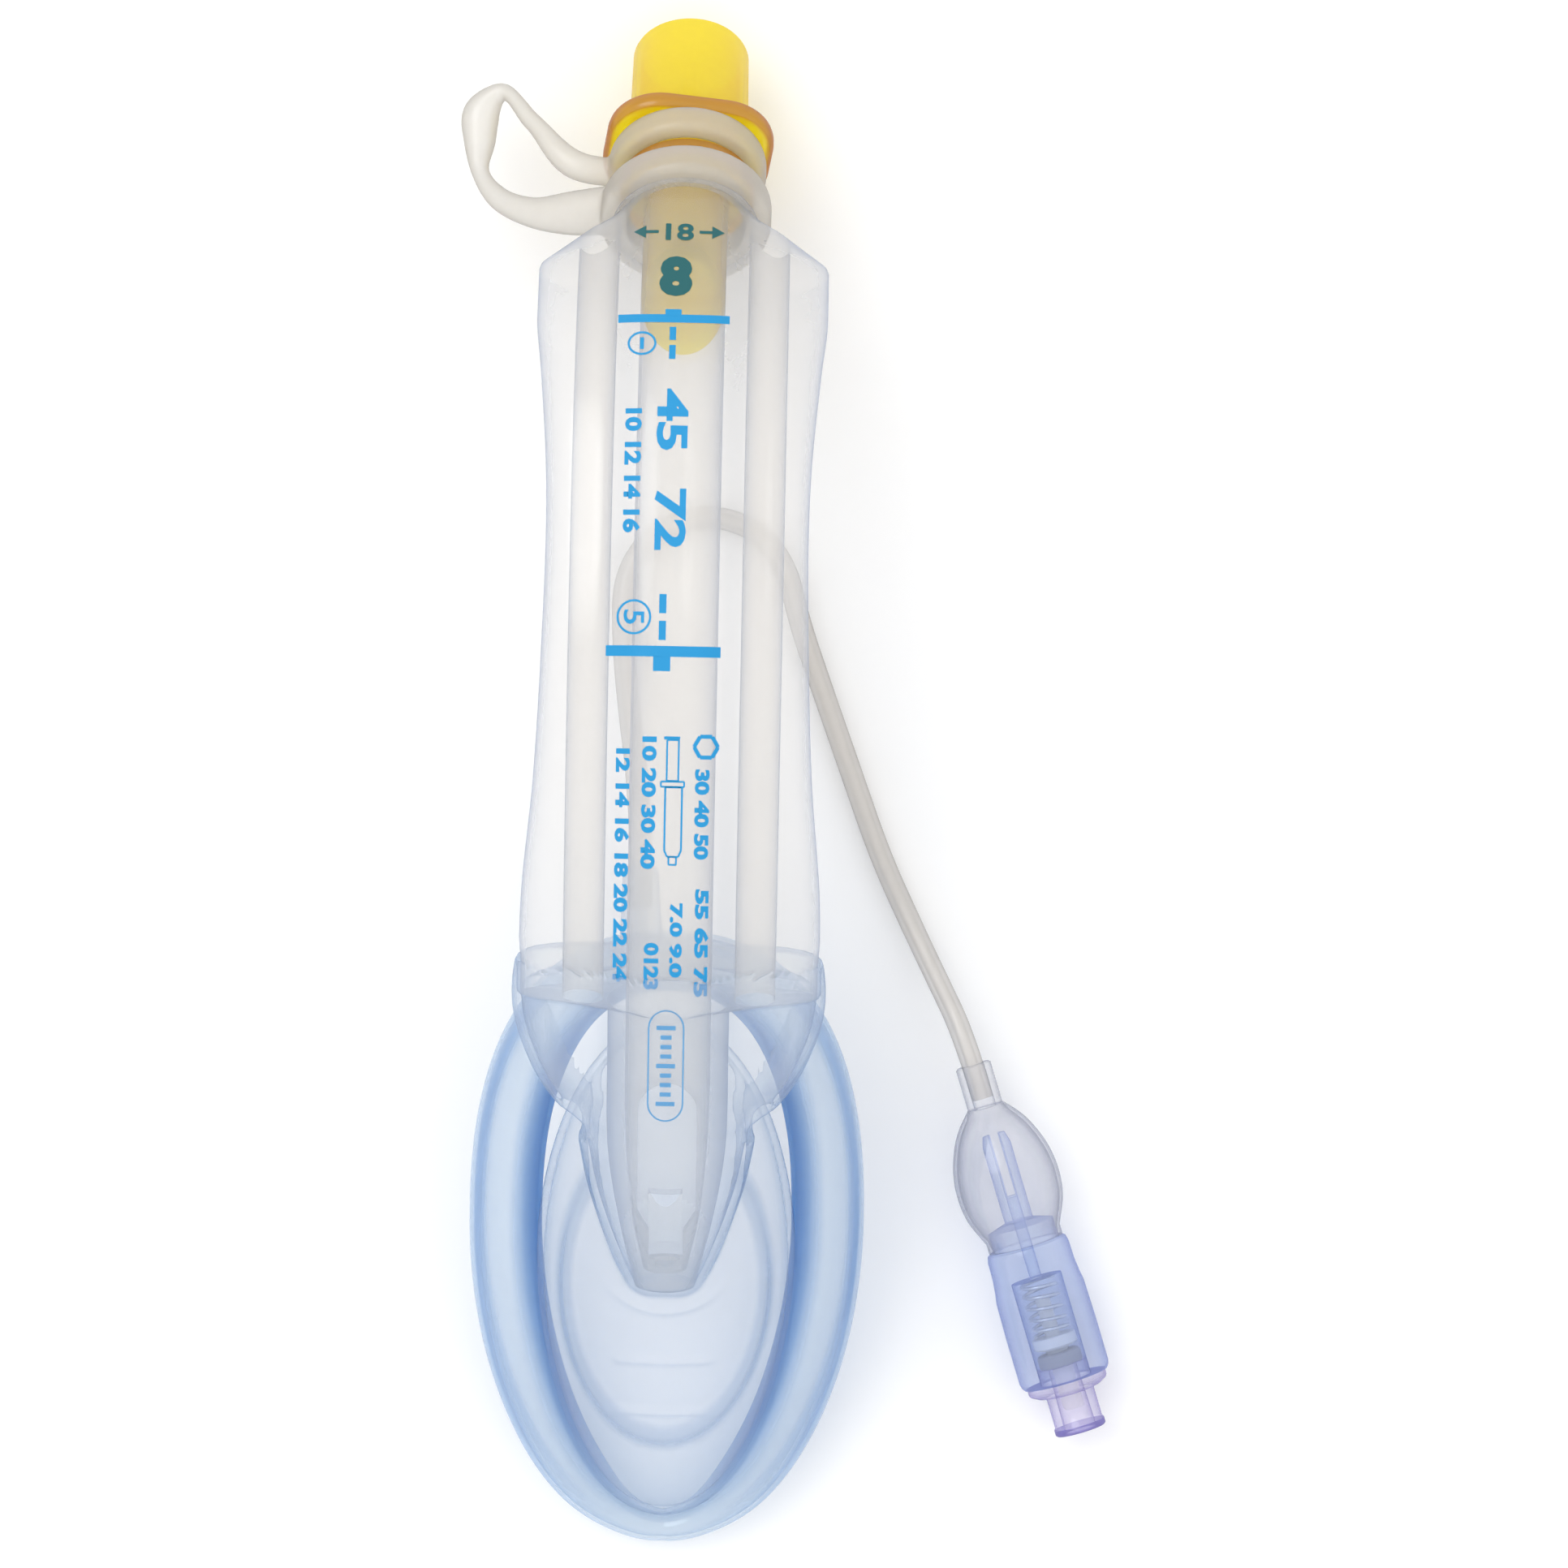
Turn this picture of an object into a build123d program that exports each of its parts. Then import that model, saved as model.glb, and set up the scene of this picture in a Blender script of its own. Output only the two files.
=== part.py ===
from build123d import *
import math
import os

# Laryngeal mask airway, adult size, lying as an arch with its outer curve up.
# X runs across the tube, +Y from the mask's tip to the machine end, +Z up from the table.
# All lengths are millimetres and all angles degrees.

# The origin is under the middle of the whole, strap included, so the tube's own plane is off to the right.
SIDE_SHIFT = 1.9

# Centreline of the airway tube, in its own plane
APEX_Y = 18.0
MASK_SIDE_RADIUS = 150.0
MASK_SIDE_SLOPE = 22.0
UPPER_RADIUS = 100.0
UPPER_TURN = 12.0
NECK_RADIUS = 62.0
MACHINE_SLOPE = 40.0
TUBE_END_Y = 70.9

# Connector, measured along its own axis from the end of the tube's shoulder
CONE_LENGTH = 15.6
CONE_TIP_RADIUS = 7.54
CONE_TAPER = 1.0 / 40.0
CONE_EDGE = 0.4
CONE_BORE_RADIUS = 6.5
FLANGE_LOW = 13.0
FLANGE_HIGH = 15.6
FLANGE_WIDTH = 21.6
FLANGE_DEPTH = 18.4
FLANGE_CORNER = 7.0
FLANGE_TWIST = 8.0
WAIST_RADIUS = 7.4
LIP_RADIUS = 8.6
LIP_LOW = 5.3
LIP_HIGH = 8.2
STEM_RADIUS = 5.35
STEM_BORE_RADIUS = 4.3
STEM_SHORT_SIDE = -8.0
STEM_LONG_SIDE = -17.0

# Airway tube
LUMEN_RADIUS = 5.4
BARREL_RADIUS = 7.8
NECK_LENGTH = 5.0
NECK_OUTER_RADIUS = 7.6
COLLAR_RADIUS = 9.5
COLLAR_LENGTH = 5.0
CHANNEL_X = 10.9
CHANNEL_RADIUS = 2.6
WING_HALF_HEIGHT = 4.4
WING_END_Y = -27.0
SHOULDER_DROP = 7.5

# Mask
MASK_SLOPE = 18.0
CUFF_TIP_Y = -97.6
CUFF_TIP_Z = 2.74
CUFF_WIDEST_Y = -57.0
CUFF_HALF_WIDTH = 20.85
CUFF_HEEL_Y = -23.0
CUFF_WALL = 0.6
BOWL_WALL = 1.1
BOWL_MID_Y = -62.5
BOWL_HALF_WIDTH = 17.4
BOWL_HALF_LENGTH = 35.6
BOWL_HEIGHT = 10.0

# Tether
TETHER_LOW_RING = (0.3, 5.0)
TETHER_HIGH_RING = (8.5, 12.7)
TETHER_GAP = 0.05

# Inflation line, pilot balloon and check valve
LINE_RADIUS = 1.45
LINE_BORE_RADIUS = 0.75
PORT_RADIUS = 2.3
PORT_DEPTH = 7.0
BALLOON_RADIUS = 6.9
BALLOON_WALL = 0.5
VALVE_RADIUS = 6.05
VALVE_TURN = 17.7
VALVE_DIP = 1.85
NECK_START = (39.5, -36.2, 7.43)
LINE_IN_NECK = 4.6
SPIGOT_RADIUS = 4.4
HOUSING_START = 24.5
STEM_HOLE_RADIUS = 0.8
VALVE_BORE_RADIUS = 3.4
SPRING_START = 29.2
SPRING_COIL_RADIUS = 2.25
SPRING_WIRE = 0.25
SPRING_TURNS = 5
PLUNGER_HEAD = 37.0
PLUNGER_NOSE_RADIUS = 1.4
LUER_SEAT = 41.0
LUER_MOUTH_RADIUS = 2.15
LUER_END = 50.0


def spine(y):
    """Height and slope of the tube's centreline at a given Y, with the apex at height 0."""
    if y <= APEX_Y:
        reach = APEX_Y - y
        straight_from = MASK_SIDE_RADIUS * math.sin(math.radians(MASK_SIDE_SLOPE))
        if reach <= straight_from:
            slope = math.degrees(math.asin(reach / MASK_SIDE_RADIUS))
            return -MASK_SIDE_RADIUS * (1 - math.cos(math.radians(slope))), slope
        drop = MASK_SIDE_RADIUS * (1 - math.cos(math.radians(MASK_SIDE_SLOPE)))
        drop += (reach - straight_from) * math.tan(math.radians(MASK_SIDE_SLOPE))
        return -drop, MASK_SIDE_SLOPE
    reach = y - APEX_Y
    first = UPPER_RADIUS * math.sin(math.radians(UPPER_TURN))
    if reach <= first:
        slope = math.degrees(math.asin(reach / UPPER_RADIUS))
        return -UPPER_RADIUS * (1 - math.cos(math.radians(slope))), -slope
    drop = UPPER_RADIUS * (1 - math.cos(math.radians(UPPER_TURN)))
    low_sine = math.sin(math.radians(UPPER_TURN))
    sine = low_sine + (reach - first) / NECK_RADIUS
    high_sine = math.sin(math.radians(MACHINE_SLOPE))
    low_cosine = math.cos(math.radians(UPPER_TURN))
    if sine <= high_sine:
        slope = math.degrees(math.asin(sine))
        drop += NECK_RADIUS * (low_cosine - math.cos(math.radians(slope)))
        return -drop, -slope
    drop += NECK_RADIUS * (low_cosine - math.cos(math.radians(MACHINE_SLOPE)))
    second = NECK_RADIUS * (high_sine - low_sine)
    drop += (reach - first - second) * math.tan(math.radians(MACHINE_SLOPE))
    return -drop, -MACHINE_SLOPE


# The connector's open rim rests on the table, which sets the height of the apex.
CONNECTOR_REACH = FLANGE_HIGH + CONE_LENGTH
APEX_Z = (
    (CONE_TIP_RADIUS - CONE_EDGE) * math.cos(math.radians(MACHINE_SLOPE))
    + CONNECTOR_REACH * math.sin(math.radians(MACHINE_SLOPE))
    - spine(TUBE_END_Y)[0]
)


def cross_plane(y, back=0.0):
    """Plane square to the tube at Y, facing the mask's tip, with its own Y towards the outer curve."""
    height, slope = spine(y)
    angle = math.radians(slope)
    normal = (0, -math.cos(angle), -math.sin(angle))
    plane = Plane(origin=(0, y, APEX_Z + height), x_dir=(1, 0, 0), z_dir=normal)
    return plane.offset(back)


def machine_plane():
    """Plane at the tube's end, facing out along the connector, with its own Y towards the inner curve."""
    height = spine(TUBE_END_Y)[0]
    angle = math.radians(MACHINE_SLOPE)
    normal = (0, math.cos(angle), -math.sin(angle))
    return Plane(origin=(0, TUBE_END_Y, APEX_Z + height), x_dir=(1, 0, 0), z_dir=normal)


def spine_wire(y_from, y_to, x=0.0):
    """The centreline between two places, shifted sideways, as tangent lines and arcs."""
    mask_arc_y = APEX_Y - MASK_SIDE_RADIUS * math.sin(math.radians(MASK_SIDE_SLOPE))
    upper_y = APEX_Y + UPPER_RADIUS * math.sin(math.radians(UPPER_TURN))
    turn_sine = math.sin(math.radians(MACHINE_SLOPE)) - math.sin(math.radians(UPPER_TURN))
    neck_y = upper_y + NECK_RADIUS * turn_sine
    stops = [(mask_arc_y, 0), (APEX_Y, MASK_SIDE_RADIUS), (upper_y, UPPER_RADIUS), (neck_y, NECK_RADIUS)]
    edges = []
    y = y_from
    for stop, radius in [*stops, (y_to, 0)]:
        stop = min(stop, y_to)
        if stop <= y:
            continue
        start, end = spine(y), spine(stop)
        first = (x, y, APEX_Z + start[0])
        last = (x, stop, APEX_Z + end[0])
        if radius:
            middle_slope = (start[1] + end[1]) / 2
            chord = math.hypot(stop - y, end[0] - start[0])
            half_turn = math.radians(abs(start[1] - end[1]) / 2)
            rise = radius * (1 - math.cos(half_turn))
            angle = math.radians(middle_slope)
            middle = Vector(
                x,
                (y + stop) / 2 - rise * math.sin(angle),
                APEX_Z + (start[0] + end[0]) / 2 + rise * math.cos(angle),
            )
            assert chord < 2 * radius
            edges.append(ThreePointArc(first, middle, last))
        else:
            edges.append(Line(first, last))
        y = stop
    return Wire(edges)


def winged_outline(half_width, half_height, barrel):
    """Closed outline of the tube with a wing on each side, barrel being its half height in the middle."""
    points = []
    for step in range(36):
        angle = math.radians((step + 0.5) * 10)
        across = math.cos(angle)
        wing = half_height * math.sqrt(max(0.0, 1 - abs(across) ** 3.5))
        bump = (barrel - half_height) * math.exp(-((across * half_width / 7.4) ** 4))
        points.append((across * half_width, math.copysign(wing + bump, math.sin(angle))))
    return Face(Wire(Spline(*points, periodic=True)))


def tube_of(wire, radius):
    """A round bar of the given radius along a wire."""
    start = wire % 0
    plane = Plane(origin=wire @ 0, z_dir=start)
    return sweep(plane * Circle(radius), path=wire)


def barrel_and_wings():
    """The winged length of the tube, before its holes are cut."""
    stations = [
        (WING_END_Y, 19.1),
        (-15.0, 18.9),
        (0.0, 17.6),
        (15.0, 16.9),
        (40.0, 16.8),
        (52.0, 17.8),
        (59.0, 18.5),
        (TUBE_END_Y, 18.5),
    ]
    sections = []
    for y, half_width in stations:
        outline = winged_outline(half_width, WING_HALF_HEIGHT, BARREL_RADIUS)
        sections.append(cross_plane(y) * outline)
    return loft(sections)


def shoulder_cuts():
    """Wedges that slope the wings back from the barrel at the machine end."""
    end = machine_plane()
    cuts = []
    for side in (-1, 1):
        profile = Polyline(
            (side * (COLLAR_RADIUS - 1.2), 1.0),
            (side * 25.0, 1.0),
            (side * 25.0, -SHOULDER_DROP - 5.0),
            (side * 18.6, -SHOULDER_DROP),
            (side * 13.0, -2.2),
            close=True,
        )
        wedge = extrude(Plane.XZ * make_face(profile), amount=12, both=True)
        cuts.append(end * wedge)
    return cuts


def snout():
    """The barrel alone, going on into the mask and narrowing to its outlet."""
    stations = [
        (-20.0, 7.6, 7.6),
        (-36.0, 7.7, 7.4),
        (-48.0, 7.4, 6.6),
        (-57.0, 5.9, 5.0),
        (-65.5, 3.9, 2.9),
    ]
    sections = []
    for y, half_width, half_height in stations:
        lowered = (BARREL_RADIUS - half_height) * 0.45
        sections.append(cross_plane(y) * Pos(0, -lowered) * Ellipse(half_width, half_height))
    return loft(sections)


def snout_lumen():
    """The airway's passage through the snout, opening into the bowl through a keyhole outlet."""
    stations = [
        (-35.0, 4.9, 4.9),
        (-46.0, 5.2, 4.9),
        (-56.0, 4.3, 3.8),
        (-63.5, 2.8, 2.0),
    ]
    sections = []
    for y, half_width, half_height in stations:
        lowered = (LUMEN_RADIUS - half_height) * 0.75
        sections.append(cross_plane(y) * Pos(0, -lowered) * Ellipse(half_width, half_height))
    passage = loft(sections)
    mouth = cross_plane(-50.0) * Pos(0, -9.0, 0) * Box(7.6, 14.0, 20.0)
    slot = cross_plane(-61.0) * Pos(0, -7.5, 0) * Box(4.4, 11.0, 6.0)
    return [passage, mouth, slot]


def airway_envelope():
    """The tube's outside, with nothing cut out of it but the sloping shoulders."""
    end = machine_plane()
    collar = end * Pos(0, 0, -COLLAR_LENGTH) * Cone(BARREL_RADIUS, COLLAR_RADIUS, COLLAR_LENGTH, align=BASE)
    neck = end * Pos(0, 0, -COLLAR_LENGTH) * Cylinder(
        NECK_OUTER_RADIUS, COLLAR_LENGTH + NECK_LENGTH, align=BASE
    )
    winged = barrel_and_wings()
    for cut in shoulder_cuts():
        winged -= cut
    return winged + snout() + collar + neck


def airway_body():
    """The clear moulded tube with its central airway and two channels for gastric tubes."""
    body = airway_envelope()
    body -= tube_of(spine_wire(-39.0, TUBE_END_Y + 6.0), LUMEN_RADIUS)
    for side in (-1, 1):
        body -= tube_of(spine_wire(-45.0, TUBE_END_Y + 3.0, side * CHANNEL_X), CHANNEL_RADIUS)
    for cut in snout_lumen():
        body -= cut
    window = cross_plane(-54.0) * Pos(0, 7.2, 0) * Box(4.4, 6.0, 7.6)
    return body - window


def mask_plane(y):
    """Plane of the cuff's ring at Y, with its own Y up the slope and its own Z out of the mask's back."""
    angle = math.radians(MASK_SLOPE)
    height = CUFF_TIP_Z + (y - CUFF_TIP_Y) * math.tan(angle)
    return Plane(
        origin=(0, y, height),
        x_dir=(1, 0, 0),
        z_dir=(0, -math.sin(angle), math.cos(angle)),
    )


def ring_point(turn):
    """A point of the cuff's centreline in the mask plane, turn going from -90 at the tip to 90 at the heel."""
    slope = math.cos(math.radians(MASK_SLOPE))
    angle = math.radians(turn)
    if turn < 0:
        power, reach = 1.9, (CUFF_WIDEST_Y - CUFF_TIP_Y) / slope
    else:
        power, reach = 2.4, (CUFF_HEEL_Y - CUFF_WIDEST_Y) / slope
    across = CUFF_HALF_WIDTH * max(0.0, math.cos(angle)) ** (2 / power)
    along = math.copysign(reach * abs(math.sin(angle)) ** (2 / power), turn)
    return across, along


CUFF_SECTIONS = [
    (-90, 2.0, 2.5),
    (-76, 2.5, 3.2),
    (-58, 3.8, 4.6),
    (-32, 4.6, 5.2),
    (0, 4.7, 5.3),
    (32, 4.7, 5.2),
    (58, 4.4, 5.0),
    (78, 4.0, 4.3),
    (90, 3.8, 3.9),
]


def cuff_bar(thinner):
    """The cuff's outer form, or its hollow when thinner is its wall."""
    base = mask_plane(CUFF_WIDEST_Y)
    sections = []
    for turn, half_width, half_height in CUFF_SECTIONS:
        across, along = ring_point(turn)
        if abs(turn) == 90:
            direction = Vector(math.copysign(1, -turn), 0, 0)
        else:
            ahead, behind = ring_point(turn + 0.5), ring_point(turn - 0.5)
            direction = Vector(ahead[0] - behind[0], ahead[1] - behind[1], 0)
        plane = Plane(origin=(across, along, 0), x_dir=(0, 0, 1), z_dir=direction)
        sections.append(plane * Ellipse(half_height - thinner, half_width - thinner))
    half = loft(sections)
    return base * (half + mirror(half, about=Plane.YZ))


def cuff():
    """The hollow inflatable ring, drawn with its air in it."""
    return cuff_bar(0.0) - cuff_bar(CUFF_WALL) - port_plane() * port_hole()


def dome(grow):
    """An ellipsoid about the bowl's middle, in the mask plane."""
    shape = scale(
        Sphere(1.0),
        by=(BOWL_HALF_WIDTH + grow, BOWL_HALF_LENGTH + grow, BOWL_HEIGHT + grow),
    )
    return mask_plane(BOWL_MID_Y) * shape


def channel_sleeve():
    """The mask's heel, which takes the end of the winged tube and leads its channels on."""
    stations = [
        (WING_END_Y + 3.0, 19.9, 5.2, 8.7),
        (WING_END_Y - 4.0, 19.6, 5.2, 8.7),
        (WING_END_Y - 11.0, 17.6, 4.4, 8.5),
    ]
    sections = []
    for y, half_width, half_height, barrel in stations:
        sections.append(cross_plane(y) * winged_outline(half_width, half_height, barrel))
    return loft(sections)


def mask_shell(envelope, ring):
    """The bowl's back with its cross ridges, and the heel that holds the tube."""
    plane = mask_plane(BOWL_MID_Y)
    upper = plane * Pos(0, 0, 10.0) * Box(60, 90, 20)
    bowl = (dome(0) - dome(-BOWL_WALL)) & upper
    shell = bowl + (channel_sleeve() - dome(-BOWL_WALL))
    for across in (-76.0, -82.0):
        rib = mask_plane(across) * Box(13.0, 1.0, 40)
        ridge = (rib & dome(0.5)) - dome(-BOWL_WALL)
        shell += ridge & upper
    shell -= ring
    shell -= envelope
    for side in (-1, 1):
        shell -= tube_of(spine_wire(-45.0, WING_END_Y + 6.0, side * CHANNEL_X), CHANNEL_RADIUS)
    return shell


def connector():
    """The 15 mm male connector with its grip plate, waist, lip and bevelled stem."""
    cone_base = CONE_TIP_RADIUS + CONE_LENGTH * CONE_TAPER / 2
    outside = Polyline(
        (0, STEM_LONG_SIDE),
        (STEM_RADIUS, STEM_LONG_SIDE),
        (STEM_RADIUS, LIP_LOW),
        (LIP_RADIUS, LIP_LOW),
        (LIP_RADIUS, LIP_HIGH),
        (WAIST_RADIUS, LIP_HIGH + 0.3),
        (WAIST_RADIUS, FLANGE_HIGH - 0.5),
        (cone_base, FLANGE_HIGH - 0.5),
        (cone_base, FLANGE_HIGH),
        (CONE_TIP_RADIUS, CONNECTOR_REACH - CONE_EDGE),
        (CONE_TIP_RADIUS - CONE_EDGE, CONNECTOR_REACH),
        (0, CONNECTOR_REACH),
        close=True,
    )
    bore = Polyline(
        (0, STEM_LONG_SIDE - 1),
        (STEM_BORE_RADIUS, STEM_LONG_SIDE - 1),
        (STEM_BORE_RADIUS, LIP_LOW),
        (CONE_BORE_RADIUS, LIP_HIGH + 2.8),
        (CONE_BORE_RADIUS, CONNECTOR_REACH + 1),
        (0, CONNECTOR_REACH + 1),
        close=True,
    )
    solid = revolve(Plane.XZ * make_face(outside), Axis.Z)
    plate = extrude(RectangleRounded(FLANGE_WIDTH, FLANGE_DEPTH, FLANGE_CORNER), FLANGE_HIGH - FLANGE_LOW)
    plate = fillet(plate.edges(), 0.9)
    solid += Pos(0, 0, FLANGE_LOW) * Rot(0, 0, FLANGE_TWIST) * plate
    solid -= revolve(Plane.XZ * make_face(bore), Axis.Z)
    middle = (STEM_SHORT_SIDE + STEM_LONG_SIDE) / 2
    bevel = math.degrees(math.atan2(STEM_SHORT_SIDE - STEM_LONG_SIDE, 2 * STEM_RADIUS))
    solid -= Pos(0, 0, middle) * Rot(-bevel, 0, 0) * Pos(0, 0, -10) * Box(30, 30, 20)
    return machine_plane() * solid


def tether_ring(low, high, inner, outer):
    """One soft collar of the tether, round the connector's axis."""
    profile = Pos((inner + outer) / 2, (low + high) / 2) * RectangleRounded(outer - inner, high - low, 1.2)
    return machine_plane() * revolve(Plane.XZ * profile, Axis.Z)


STRAP = [
    (-8.8, 78.4, 19.5, 1.6, 1.3),
    (-14.2, 79.3, 19.6, 1.6, 1.3),
    (-20.3, 85.2, 16.2, 1.2, 1.2),
    (-24.7, 89.2, 13.0, 1.25, 1.25),
    (-27.1, 86.6, 12.2, 2.1, 2.0),
    (-27.4, 82.8, 12.8, 1.9, 1.9),
    (-27.0, 78.8, 14.2, 1.2, 1.2),
    (-24.6, 75.3, 16.6, 1.3, 1.2),
    (-20.0, 73.2, 19.5, 1.7, 1.3),
    (-14.6, 72.9, 22.0, 2.4, 1.4),
    (-9.6, 73.2, 23.9, 2.1, 1.3),
]


def connector_tether():
    """The soft tether: a collar on the tube's neck, one on the connector's waist, and the strap's loop."""
    sections = []
    for place, (x, y, z, half_width, half_depth) in enumerate(STRAP):
        ahead = STRAP[min(place + 1, len(STRAP) - 1)][:3]
        behind = STRAP[max(place - 1, 0)][:3]
        direction = Vector(*ahead) - Vector(*behind)
        sideways = direction.cross(Vector(0, 0, 1))
        plane = Plane(origin=(x, y, z), x_dir=sideways, z_dir=-direction)
        sections.append(plane * Ellipse(half_width, half_depth))
    strap = loft(sections, ruled=True)
    low = tether_ring(*TETHER_LOW_RING, NECK_OUTER_RADIUS + TETHER_GAP, 11.0)
    high = tether_ring(*TETHER_HIGH_RING, WAIST_RADIUS + TETHER_GAP, 10.2)
    return low + high + strap


BASE = (Align.CENTER, Align.CENTER, Align.MIN)

LINE_ROUTE = [
    (-4.0, -16.0, 24.4),
    (-4.2, -8.0, 22.2),
    (-5.0, 1.0, 16.5),
    (-6.4, 9.5, 9.0),
    (-7.5, 18.5, 3.0),
    (-7.6, 27.0, 1.5),
    (-3.8, 32.7, 1.5),
    (2.5, 35.3, 1.5),
    (9.2, 33.9, 1.5),
    (13.8, 28.9, 1.5),
    (15.6, 21.5, 1.5),
    (18.6, 13.2, 1.5),
    (22.9, 1.6, 1.5),
    (26.9, -9.2, 1.5),
    (30.7, -17.2, 1.7),
    (34.5, -24.9, 4.2),
]


def valve_plane(along=0.0):
    """Plane across the balloon and valve, facing away from the line, so far from the balloon's neck."""
    turn = math.radians(VALVE_TURN)
    dip = math.radians(VALVE_DIP)
    normal = Vector(
        math.sin(turn) * math.cos(dip),
        -math.cos(turn) * math.cos(dip),
        -math.sin(dip),
    )
    origin = Vector(*NECK_START) + normal * along
    return Plane(origin=origin, x_dir=(math.cos(turn), math.sin(turn), 0), z_dir=normal)


def port_plane():
    """Plane across the inflation port, facing out along the line, at the line's first point."""
    start = Vector(*LINE_ROUTE[0])
    return Plane(origin=start, z_dir=Vector(*LINE_ROUTE[1]) - start)


def inflation_port(ring):
    """The socket on the cuff's heel that takes the inflation line."""
    socket = Pos(0, 0, -PORT_DEPTH) * Cone(PORT_RADIUS + 0.5, PORT_RADIUS, PORT_DEPTH + 5.0, align=BASE)
    socket -= Cylinder(LINE_RADIUS, 6.0, align=BASE)
    socket -= port_hole()
    return port_plane() * socket - ring


def port_hole():
    """The passage from the line into the cuff, along the port's own axis."""
    return Pos(0, 0, -PORT_DEPTH - 1.0) * Cylinder(LINE_BORE_RADIUS, PORT_DEPTH + 2.0, align=BASE)


def line_path():
    """Straight runs joined by the largest arcs that they allow, ending inside the balloon's neck."""
    points = [Vector(*point) for point in LINE_ROUTE]
    points += [valve_plane(-4.0).origin, valve_plane(LINE_IN_NECK).origin]
    radii = []
    for before, corner, after in zip(points, points[1:], points[2:]):
        shorter = min((corner - before).length, (after - corner).length)
        turn = (corner - before).get_angle(after - corner)
        radii.append(0.45 * shorter / math.tan(math.radians(turn) / 2))
    print("inflation line's arc radii", [round(radius, 1) for radius in radii])
    return FilletPolyline(*points, radius=radii)


def inflation_line():
    """The inflation line's tube along its whole route."""
    wire = Wire(line_path().edges())
    tube = tube_of(wire, LINE_RADIUS)
    print("inflation line's length", round(wire.length, 1))
    print("its volume over section times length", round(tube.volume / (math.pi * LINE_RADIUS**2 * wire.length), 4))
    return tube


def turned(points):
    """A solid turned about the valve's axis from radius and place along it."""
    return valve_plane() * revolve(Plane.XZ * make_face(Polyline(*points, close=True)), Axis.Z)


def pilot_balloon():
    """The hollow balloon with its neck on the line and its foot on the valve."""
    neck = 2.35
    outside = [(neck, 5.6), (4.1, 7.6), (6.05, 11.4), (BALLOON_RADIUS, 16.0), (6.5, 19.6), (5.0, 23.2)]
    inside = [(radius - BALLOON_WALL, along) for radius, along in outside]
    inside[0] = (LINE_RADIUS, 6.0)
    inside[-1] = (SPIGOT_RADIUS, 22.6)
    outline = [
        Spline(*outside),
        Line(outside[-1], (5.0, HOUSING_START)),
        Line((5.0, HOUSING_START), (SPIGOT_RADIUS, HOUSING_START)),
        Line((SPIGOT_RADIUS, HOUSING_START), inside[-1]),
        Spline(*inside),
        Line(inside[0], (LINE_RADIUS, 0)),
        Line((LINE_RADIUS, 0), (neck, 0)),
        Line((neck, 0), outside[0]),
    ]
    return valve_plane() * revolve(Plane.XZ * make_face(outline), Axis.Z)


def valve_housing():
    """The check valve's body, with the slotted stem that stands in the balloon."""
    outline = [
        (STEM_HOLE_RADIUS, 9.5),
        (1.5, 9.5),
        (1.9, 11.0),
        (1.9, 21.2),
        (SPIGOT_RADIUS, 22.0),
        (SPIGOT_RADIUS, HOUSING_START),
        (5.1, HOUSING_START),
        (5.5, 25.6),
        (5.55, 28.0),
        (5.95, 31.0),
        (VALVE_RADIUS, 36.0),
        (VALVE_RADIUS, 42.3),
        (5.6, 43.0),
        (VALVE_BORE_RADIUS, 43.0),
        (VALVE_BORE_RADIUS, SPRING_START),
        (STEM_HOLE_RADIUS, SPRING_START),
    ]
    housing = turned(outline)
    slot = valve_plane() * Pos(0, 0, 9.0) * Box(1.1, 8.0, 9.0, align=BASE)
    return housing - slot


def valve_luer():
    """The luer port that closes the valve, with its tapered mouth."""
    mouth = LUER_MOUTH_RADIUS
    outline = [
        (LUER_MOUTH_RADIUS - 0.25, LUER_SEAT),
        (VALVE_BORE_RADIUS, LUER_SEAT),
        (VALVE_BORE_RADIUS, 43.0),
        (5.3, 43.0),
        (5.3, 44.0),
        (4.2, 44.6),
        (3.2, 44.9),
        (3.2, 48.9),
        (3.4, 49.1),
        (3.4, LUER_END),
        (mouth, LUER_END),
    ]
    return turned(outline)


def valve_plunger():
    """The sprung plunger, whose nose a syringe pushes in."""
    outline = [
        (0, 31.6),
        (0.9, 31.6),
        (1.0, PLUNGER_HEAD),
        (2.9, PLUNGER_HEAD),
        (2.9, PLUNGER_HEAD + 1.4),
        (PLUNGER_NOSE_RADIUS, PLUNGER_HEAD + 1.9),
        (PLUNGER_NOSE_RADIUS, 46.6),
        (1.0, 47.0),
        (0, 47.0),
    ]
    return turned(outline)


def valve_seal():
    """The rubber washer that the spring holds against the luer's seat."""
    low = PLUNGER_HEAD + 2.2
    outline = [
        (PLUNGER_NOSE_RADIUS, low),
        (2.6, low),
        (2.9, low + 0.4),
        (2.9, LUER_SEAT),
        (PLUNGER_NOSE_RADIUS, LUER_SEAT),
    ]
    return turned(outline)


def valve_spring():
    """The spring under the plunger's head, with its ends wound flat against their seats."""
    length = PLUNGER_HEAD - SPRING_START - 2 * SPRING_WIRE
    coil = Helix(pitch=length / SPRING_TURNS, height=length, radius=SPRING_COIL_RADIUS)
    plane = Plane(origin=coil @ 0, x_dir=(1, 0, 0), z_dir=coil % 0)
    wire = sweep(plane * RegularPolygon(SPRING_WIRE, 6), path=coil, is_frenet=True)
    return valve_plane(SPRING_START + SPRING_WIRE) * wire


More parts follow.
